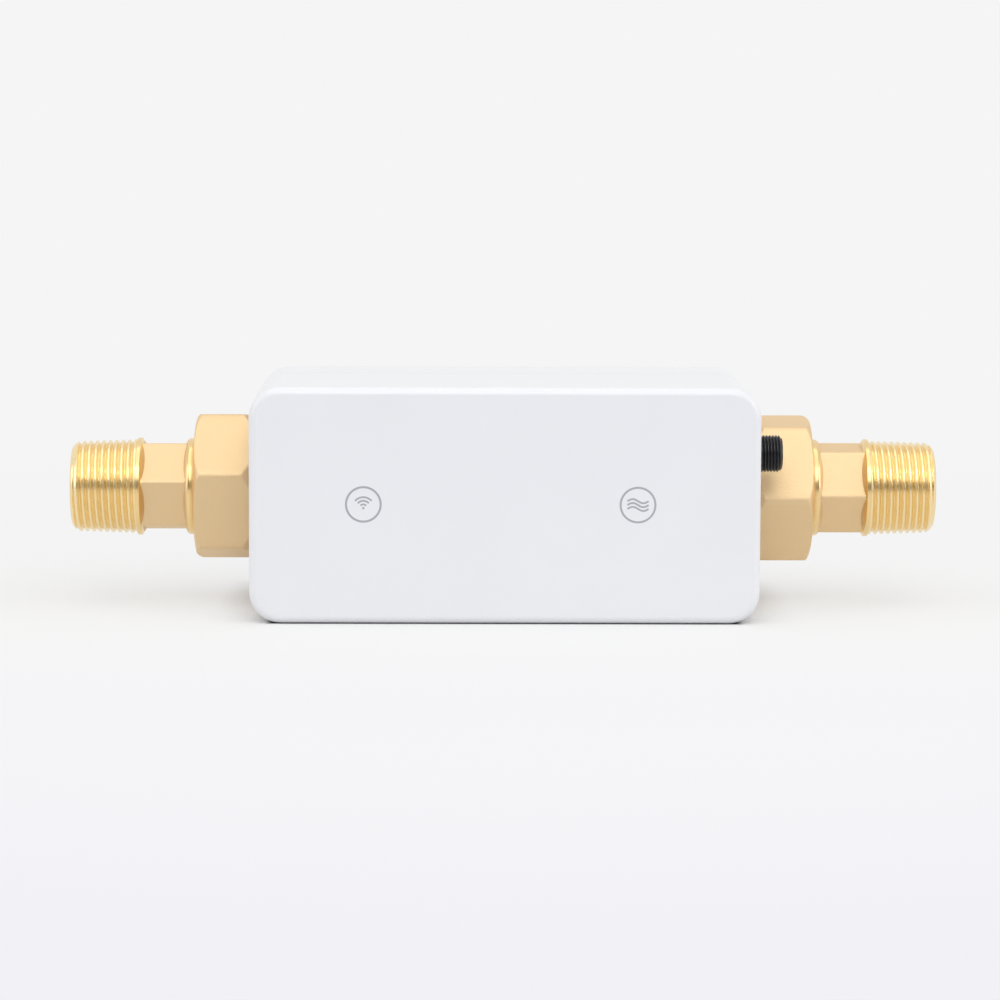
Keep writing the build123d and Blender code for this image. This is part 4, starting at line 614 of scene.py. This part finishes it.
for side, name, corner_angle in ((-1, "inlet", 168.9), (1, "outlet", 185.6)):
    tail = placed(
        name + "_threaded_tail",
        grid_mesh(
            name + "_threaded_tail",
            round_the_axis(pipe_axis, side, tail_stations(side, corner_angle), tail_turn),
            rows="closed",
        ),
        name + "_union",
        turned_brass,
        28.0,
        (name + "_tailpiece",),
    )
    tail.data.materials.append(satin_brass)
    tail.data.materials.append(cut_brass)
    middles = np.empty(len(tail.data.polygons) * 3)
    tail.data.polygons.foreach_get("center", middles)
    middles = middles.reshape(-1, 3) / MM
    outside = np.hypot(middles[:, 1] - pipe_axis[0], middles[:, 2] - pipe_axis[1]) > 10.6
    along = np.abs(middles[:, 0])
    on_hexagon = outside & (along > hexagon_start - 0.4) & (along < hexagon_end + 0.8)
    on_thread = outside & (along > collar_end) & (along < tail_end - 0.1)
    finish = np.where(on_hexagon, 1, 0) + np.where(on_thread, 2, 0)
    tail.data.polygons.foreach_set("material_index", finish.astype(np.int32))

# Union nuts. Forged brass hexagons with a turned and rounded outer end, a shoulder that draws the
# tail's flange up, and a right-hand thread inside.

nut_inner_end, nut_outer_end, nut_flats, nut_corner_radius = 70.2, 86.1, 38.0, 21.94
nut_nose_radius, nut_nose_length, nut_neck_radius = 16.6, 3.1, 13.85
nut_bore_radius, nut_pitch, nut_thread_depth = 16.68, 2.309, 0.75
nut_turn = np.linspace(0, 2 * np.pi, 288, endpoint=False)


def nut_stations(side, corner_angle):
    """The union nut's closed outline: inner end with a cone over the hexagon's corners, hexagon, an
    elliptic nose that cuts its corners at the outer end, neck hole, shoulder and threaded bore."""
    hexed = hexagon(nut_flats, corner_angle, 36, nut_turn)
    turn = side * nut_turn
    stations = [(nut_inner_end, 17.9)]
    for step in np.linspace(0, 1, 8):
        cone = nut_corner_radius - 1.74 * (1 - step)
        stations.append((nut_inner_end + 2.6 * step, np.minimum(hexed, cone)))
    stations += [(distance, hexed) for distance in (74.5, 77.0, 80.0, 82.4)]
    nose_start = nut_outer_end - nut_nose_length
    for angle in np.radians(np.linspace(0, 90, 14)):
        nose = nut_nose_radius + (nut_corner_radius - nut_nose_radius) * np.cos(angle)
        stations.append((nose_start + nut_nose_length * np.sin(angle), np.minimum(hexed, nose)))
    stations += [(nut_outer_end, 14.2), (85.95, 13.95), (85.7, nut_neck_radius)]
    stations += [(83.9, nut_neck_radius), (83.7, 13.9), (83.7, 16.3), (83.5, nut_bore_radius)]
    for distance in np.linspace(83.0, 72.2, 66):
        wave = thread_wave(distance, turn, nut_pitch)
        stations.append((distance, nut_bore_radius + nut_thread_depth * wave))
    stations += [(71.9, 17.3)]
    return stations


for side, name, corner_angle in ((-1, "inlet", 165.5), (1, "outlet", 184.0)):
    placed(
        name + "_forged_nut",
        grid_mesh(
            name + "_forged_nut",
            round_the_axis(pipe_axis, side, nut_stations(side, corner_angle), nut_turn),
            rows="closed",
        ),
        name + "_nut",
        satin_brass,
        28.0,
        (name + "_union_nut",),
    )

# Union gaskets. Flat rings of compressed fibre, dark blue-grey, between spigot and flange.

fibre = moulded_rubber("fibre_gasket", (0.05, 0.06, 0.09))
dress(fibre, "union_gaskets")

# Actuator. A dark moulded tray and lid on the body's pad hold three stages of acetal gears, which
# turn on fixed steel pins.

case_plastic = moulded_plastic("grey_case_plastic", (0.045, 0.048, 0.055), 0.48, 0.00002)
ivory_acetal = moulded_plastic("ivory_gear_plastic", (0.76, 0.71, 0.57), 0.36)
grey_nylon = moulded_plastic("grey_gear_plastic", (0.26, 0.28, 0.29), 0.44, 0.00002)
dress(case_plastic, "actuator_tray", "actuator_lid")
dress(ivory_acetal, "second_gear", "first_gear")
dress(grey_nylon, "output_gear")

# Motor. A flatted steel can with a white end cap, an armature wound with varnished copper, and a
# brass pinion whose finish the board's pins share.


def wound_copper(name):
    """Varnished copper wire: fine parallel turns along the motor's length."""
    place, close = new_finish(name)
    turns = place.stretched(1.0, 0.05, 1.0).noise(5200.0, 1.0)
    shade, shine = (0.28, 0.09, 0.03), (0.72, 0.30, 0.12)
    return close(
        turns,
        0.00006,
        Base_Color=turns.tinted(shade, shine),
        Metallic=0.8,
        Roughness=0.3 + 0.15 * turns,
    )


dress(turned_metal("drawn_motor_steel", (0.55, 0.56, 0.57), 0.28, (0, 1, 0)), "motor_can")
dress(seat_plastic, "motor_end_cap")
dress(wound_copper("wound_armature"), "motor_armature")
gilt = turned_metal("plated_contact_metal", (0.88, 0.66, 0.28), 0.22, (0, 1, 0))
dress(gilt, "motor_pinion", "pin_headers")

# Circuit boards. Glass-epoxy boards under green solder mask, with paler tracks under it.


def solder_mask(name):
    """Solder mask: deep green, glossy, with a grid of slightly paler and raised tracks."""
    place, close = new_finish(name)
    brick = place.node(
        "ShaderNodeTexBrick",
        {"offset": 0.4},
        out=1,
        Vector=place,
        Scale=260.0,
        Mortar_Size=0.03,
    )
    mottle = place.noise(500.0, 2.0)
    mask = 0.7 * brick + 0.3 * mottle
    deep, pale = (0.008, 0.075, 0.028), (0.03, 0.19, 0.07)
    return close(
        brick,
        0.00003,
        Base_Color=mask.tinted(deep, pale),
        Roughness=0.28 + 0.1 * mottle,
        Coat_Weight=0.4,
    )


board_green = solder_mask("green_solder_mask")
dress(board_green, "main_board", "touch_board", "flow_sensor_board", "position_board")
tin = turned_metal("tinned_shield", (0.66, 0.67, 0.66), 0.34, (1, 0, 0))
dress(tin, "radio_module")
dress(turned_metal("capacitor_sleeve", (0.45, 0.46, 0.50), 0.38, (0, 1, 0)), "power_capacitor")
dress(moulded_plastic("green_terminal_plastic", (0.05, 0.26, 0.12), 0.42), "terminal_blocks")
dress(turned_metal("touch_electrode", (0.80, 0.47, 0.27), 0.30, (1, 0, 0)), "touch_pads")
dress(moulded_plastic("clear_lamp_plastic", (0.86, 0.87, 0.72), 0.15), "indicator_leds")
dress(moulded_plastic("black_sensor_epoxy", (0.02, 0.02, 0.02), 0.5), "hall_sensors")

# Power connector. A black moulded panel plug with a fine coupling thread, a keyed cavity and four
# plated contacts. Its flange lies in the end wall, and a thin hexagon nut holds it from inside.

plug_axis = (-19.0, 44.7)
plug_barrel_radius, plug_sleeve_radius, plug_flange_radius = 4.2, 4.9, 6.4
plug_crest_radius, plug_pitch, plug_thread_depth = 5.05, 0.85, 0.42
plug_end, plug_cavity_radius, plug_key_height = 75.8, 3.6, 0.45
plug_turn = np.linspace(0, 2 * np.pi, 120, endpoint=False)
black_plastic = moulded_plastic("black_connector_plastic", (0.012, 0.012, 0.014), 0.27, 0.000008)


def plug_stations():
    """The connector's outline from its back end, over the flange and the threaded sleeve, and into
    the cavity; the key is a rise on the cavity wall."""
    barrel, sleeve, flange = plug_barrel_radius, plug_sleeve_radius, plug_flange_radius
    stations = [(56.4, 3.9), (56.4, barrel - 0.1), (56.5, barrel), (63.4, barrel)]
    stations += [(63.4, sleeve - 0.1), (63.5, sleeve), (68.2, sleeve), (68.2, flange - 0.1)]
    stations += [(68.3, flange), (68.9, flange), (69.0, flange - 0.1), (69.0, 4.5)]
    for distance in np.linspace(69.15, 75.4, 104):
        lead_in = np.clip((distance - 74.9) / 0.5, 0.0, 1.0)
        wave = thread_wave(distance, plug_turn, plug_pitch)
        drop = plug_thread_depth * (lead_in + (1 - wave))
        stations.append((distance, plug_crest_radius - drop))
    stations += [(75.55, 4.32), (75.72, 4.25), (plug_end, 4.1), (plug_end, 3.75)]
    key_turn = np.abs((plug_turn - np.pi / 2 + np.pi) % (2 * np.pi) - np.pi)
    keyed = plug_cavity_radius - np.where(key_turn < 0.13, plug_key_height, 0.0)
    stations += [(plug_end - 0.1, plug_cavity_radius), (75.0, plug_cavity_radius)]
    stations += [(74.65, plug_cavity_radius), (74.6, keyed), (72.0, keyed)]
    stations += [(70.35, keyed), (70.3, 2.6)]
    return stations


placed(
    "threaded_plug",
    grid_mesh("threaded_plug", round_the_axis(plug_axis, 1, plug_stations(), plug_turn)),
    "housing",
    black_plastic,
    28.0,
    ("power_connector",),
)
finished_casting("connector_locknut", "housing", black_plastic)
dress(turned_metal("plated_plug_contact", (0.90, 0.68, 0.28), 0.2, (1, 0, 0)), "connector_contacts")

# Wiring. Stranded leads in glossy red and black insulation, and a white film cable.

dress(moulded_plastic("red_lead_insulation", (0.42, 0.015, 0.012), 0.34), "power_leads")
dress(moulded_plastic("black_lead_insulation", (0.02, 0.02, 0.02), 0.36), "motor_leads")
dress(moulded_plastic("white_film_cable", (0.70, 0.70, 0.67), 0.30), "touch_ribbon")

# Studio. A pale floor that turns into the backdrop's colour away from the object, a large soft
# lamp overhead, one in front, a weaker one on each side, and the camera at the photograph's angle.

backdrop = (0.913, 0.913, 0.913)
paper = (0.887, 0.879, 0.921)
# The painted contact shadow's dark grey, and its reach in metres out from the box's footprint.
card_grey, painted_contact_shadow_grey = (0.80, 0.80, 0.80), (0.10, 0.10, 0.11)
footprint_half_width, footprint_half_depth, painted_shadow_reach = 0.0625, 0.0335, 0.0026


def studio_floor():
    """Floor: a painted contact shadow, dark grey and matt, in the thin strip under the box's rounded
    edge, matt paper close to it, part matt round it, so that the shadow there is soft, and the plain
    backdrop colour further off. It turns a little cooler at the front, where mirrored metal sees it
    slightly dimmer."""
    material = bpy.data.materials.new("studio_floor")
    material.use_nodes = True
    tree = material.node_tree
    tree.nodes.clear()
    start = Wire(tree)
    place = start.node("ShaderNodeTexCoord", out=3)
    far = place.node("ShaderNodeVectorMath", {"operation": "LENGTH"}, out=1, s0=place)
    fade = far.smooth_step(0.20, 0.45)
    ahead = 0.0 - place.node("ShaderNodeSeparateXYZ", out=1, Vector=place)
    tone = ahead.smooth_step(0.05, 0.18).tinted(backdrop, paper)
    sideways = place.node("ShaderNodeSeparateXYZ", out=0, Vector=place)
    off_side = place.math("ABSOLUTE", sideways) - footprint_half_width
    off_front = place.math("ABSOLUTE", ahead) - footprint_half_depth
    outside = off_side.math("MAXIMUM", off_side, off_front)
    clear = outside.smooth_step(0.002, 0.02)
    mirrored = start.node("ShaderNodeLightPath", out=2)
    dim = 1.0 - 0.15 * (mirrored * ahead.smooth_step(0.07, 0.22))
    matt = start.node("ShaderNodeBsdfDiffuse", Color=(*card_grey, 1.0))
    plain = start.node("ShaderNodeEmission", Color=tone, Strength=dim)
    near = start.node("ShaderNodeMixShader", s0=1.0 - 0.62 * clear, s1=plain, s2=matt)
    # Painted contact shadow: dark grey matt floor within a few millimetres of the box's footprint,
    # standing in for the shade under its bottom edge.
    painted_contact_shadow = start.node("ShaderNodeBsdfDiffuse", Color=(*painted_contact_shadow_grey, 1.0))
    ground = start.node(
        "ShaderNodeMixShader", s0=outside.smooth_step(0.0, painted_shadow_reach), s1=painted_contact_shadow, s2=near
    )
    both = start.node("ShaderNodeMixShader", s0=fade, s1=ground, s2=plain)
    start.node("ShaderNodeOutputMaterial", Surface=both)
    return material


floor_reach, floor_drop, floor_squares = 3.0, 0.0001, 8
floor_lines = np.linspace(-floor_reach, floor_reach, floor_squares + 1)
floor_x, floor_y = np.meshgrid(floor_lines, floor_lines)
floor_points = np.stack([floor_x, floor_y, np.full_like(floor_x, -floor_drop)], axis=-1)
steps = np.arange(floor_squares)
square = steps[:, None] * len(floor_lines) + steps[None, :]
beyond = square + len(floor_lines)
floor_mesh = bpy.data.meshes.new("floor")
floor_mesh.from_pydata(
    floor_points.reshape(-1, 3).tolist(),
    [],
    np.stack([square, square + 1, beyond + 1, beyond], axis=-1).reshape(-1, 4).tolist(),
)
floor_mesh.materials.append(studio_floor())
floor = bpy.data.objects.new("floor", floor_mesh)
bpy.context.scene.collection.objects.link(floor)

world = bpy.data.worlds.new("studio")
bpy.context.scene.world = world
world.use_nodes = True
world.node_tree.nodes.clear()
sky = Wire(world.node_tree)
ray = world.node_tree.nodes.new("ShaderNodeLightPath")
camera_ray, glossy_ray, clear_ray = (
    Wire(world.node_tree, ray.outputs[f"Is {kind} Ray"])
    for kind in ("Camera", "Glossy", "Transmission")
)
seen = camera_ray + glossy_ray + clear_ray
gaze = sky.node("ShaderNodeTexCoord", out=0)
depth = sky.node("ShaderNodeSeparateXYZ", out=1, Vector=gaze)
height = sky.node("ShaderNodeSeparateXYZ", out=2, Vector=gaze)
dark_side = (0.0 - depth).smooth_step(0.3, 0.8) * (1.0 - height.smooth_step(0.30, 0.55))
overhead = height.smooth_step(0.45, 0.8) * (0.4 - depth).smooth_step(0.0, 0.4)
lit_share = (1.0 - 0.7 * dark_side) - 0.3 * overhead
soft = sky.node("ShaderNodeBackground", Color=(1.0, 1.0, 1.0, 1.0), Strength=0.69)
plain = sky.node("ShaderNodeBackground", Color=(*backdrop, 1.0), Strength=lit_share)
sky.node(
    "ShaderNodeOutputWorld",
    Surface=sky.node("ShaderNodeMixShader", s0=seen.math("MINIMUM", seen, 1.0), s1=soft, s2=plain),
)

aim = np.array([0.0, 0.0, 0.03])
for name, place, size, watts in (
    ("overhead_lamp", (0.0, -0.35, 1.5), 2.2, 9.0),
    ("front_lamp", (0.1, -1.55, 1.25), 1.3, 6.3),
    ("left_lamp", (-1.5, -0.7, 0.7), 1.4, 5.0),
    ("right_lamp", (1.5, -0.7, 0.7), 1.4, 7.0),
):
    lamp = bpy.data.lights.new(name, "AREA")
    lamp.shape = "DISK"
    lamp.size = size
    lamp.energy = watts
    holder = bpy.data.objects.new(name, lamp)
    away = np.array(place) - aim
    away /= np.linalg.norm(away)
    across = np.cross([0.0, 0.0, 1.0], away)
    across /= np.linalg.norm(across)
    upward = np.cross(away, across)
    turned = Matrix(np.column_stack([across, upward, away]).tolist()).to_4x4()
    turned.translation = place
    holder.matrix_world = turned
    bpy.context.scene.collection.objects.link(holder)

camera_place = np.array([-0.01252, -1.05509, 0.15320])
focal_length, sensor_width = 137.35, 36.0
yaw, pitch, roll = 0.01096, 0.11665, 0.00345
forward = np.array([np.sin(yaw) * np.cos(pitch), np.cos(yaw) * np.cos(pitch), -np.sin(pitch)])
level = np.array([np.cos(yaw), -np.sin(yaw), 0.0])
upright = np.cross(level, forward)
right = np.cos(roll) * level + np.sin(roll) * upright
up = np.cos(roll) * upright - np.sin(roll) * level
lens = bpy.data.cameras.new("camera")
lens.sensor_width = sensor_width
lens.lens = focal_length
lens.clip_end = 20.0
camera = bpy.data.objects.new("camera", lens)
stand = Matrix(np.column_stack([right, up, -forward]).tolist()).to_4x4()
stand.translation = camera_place
camera.matrix_world = stand
bpy.context.scene.collection.objects.link(camera)
bpy.context.scene.camera = camera
bpy.context.scene.view_settings.view_transform = "Standard"
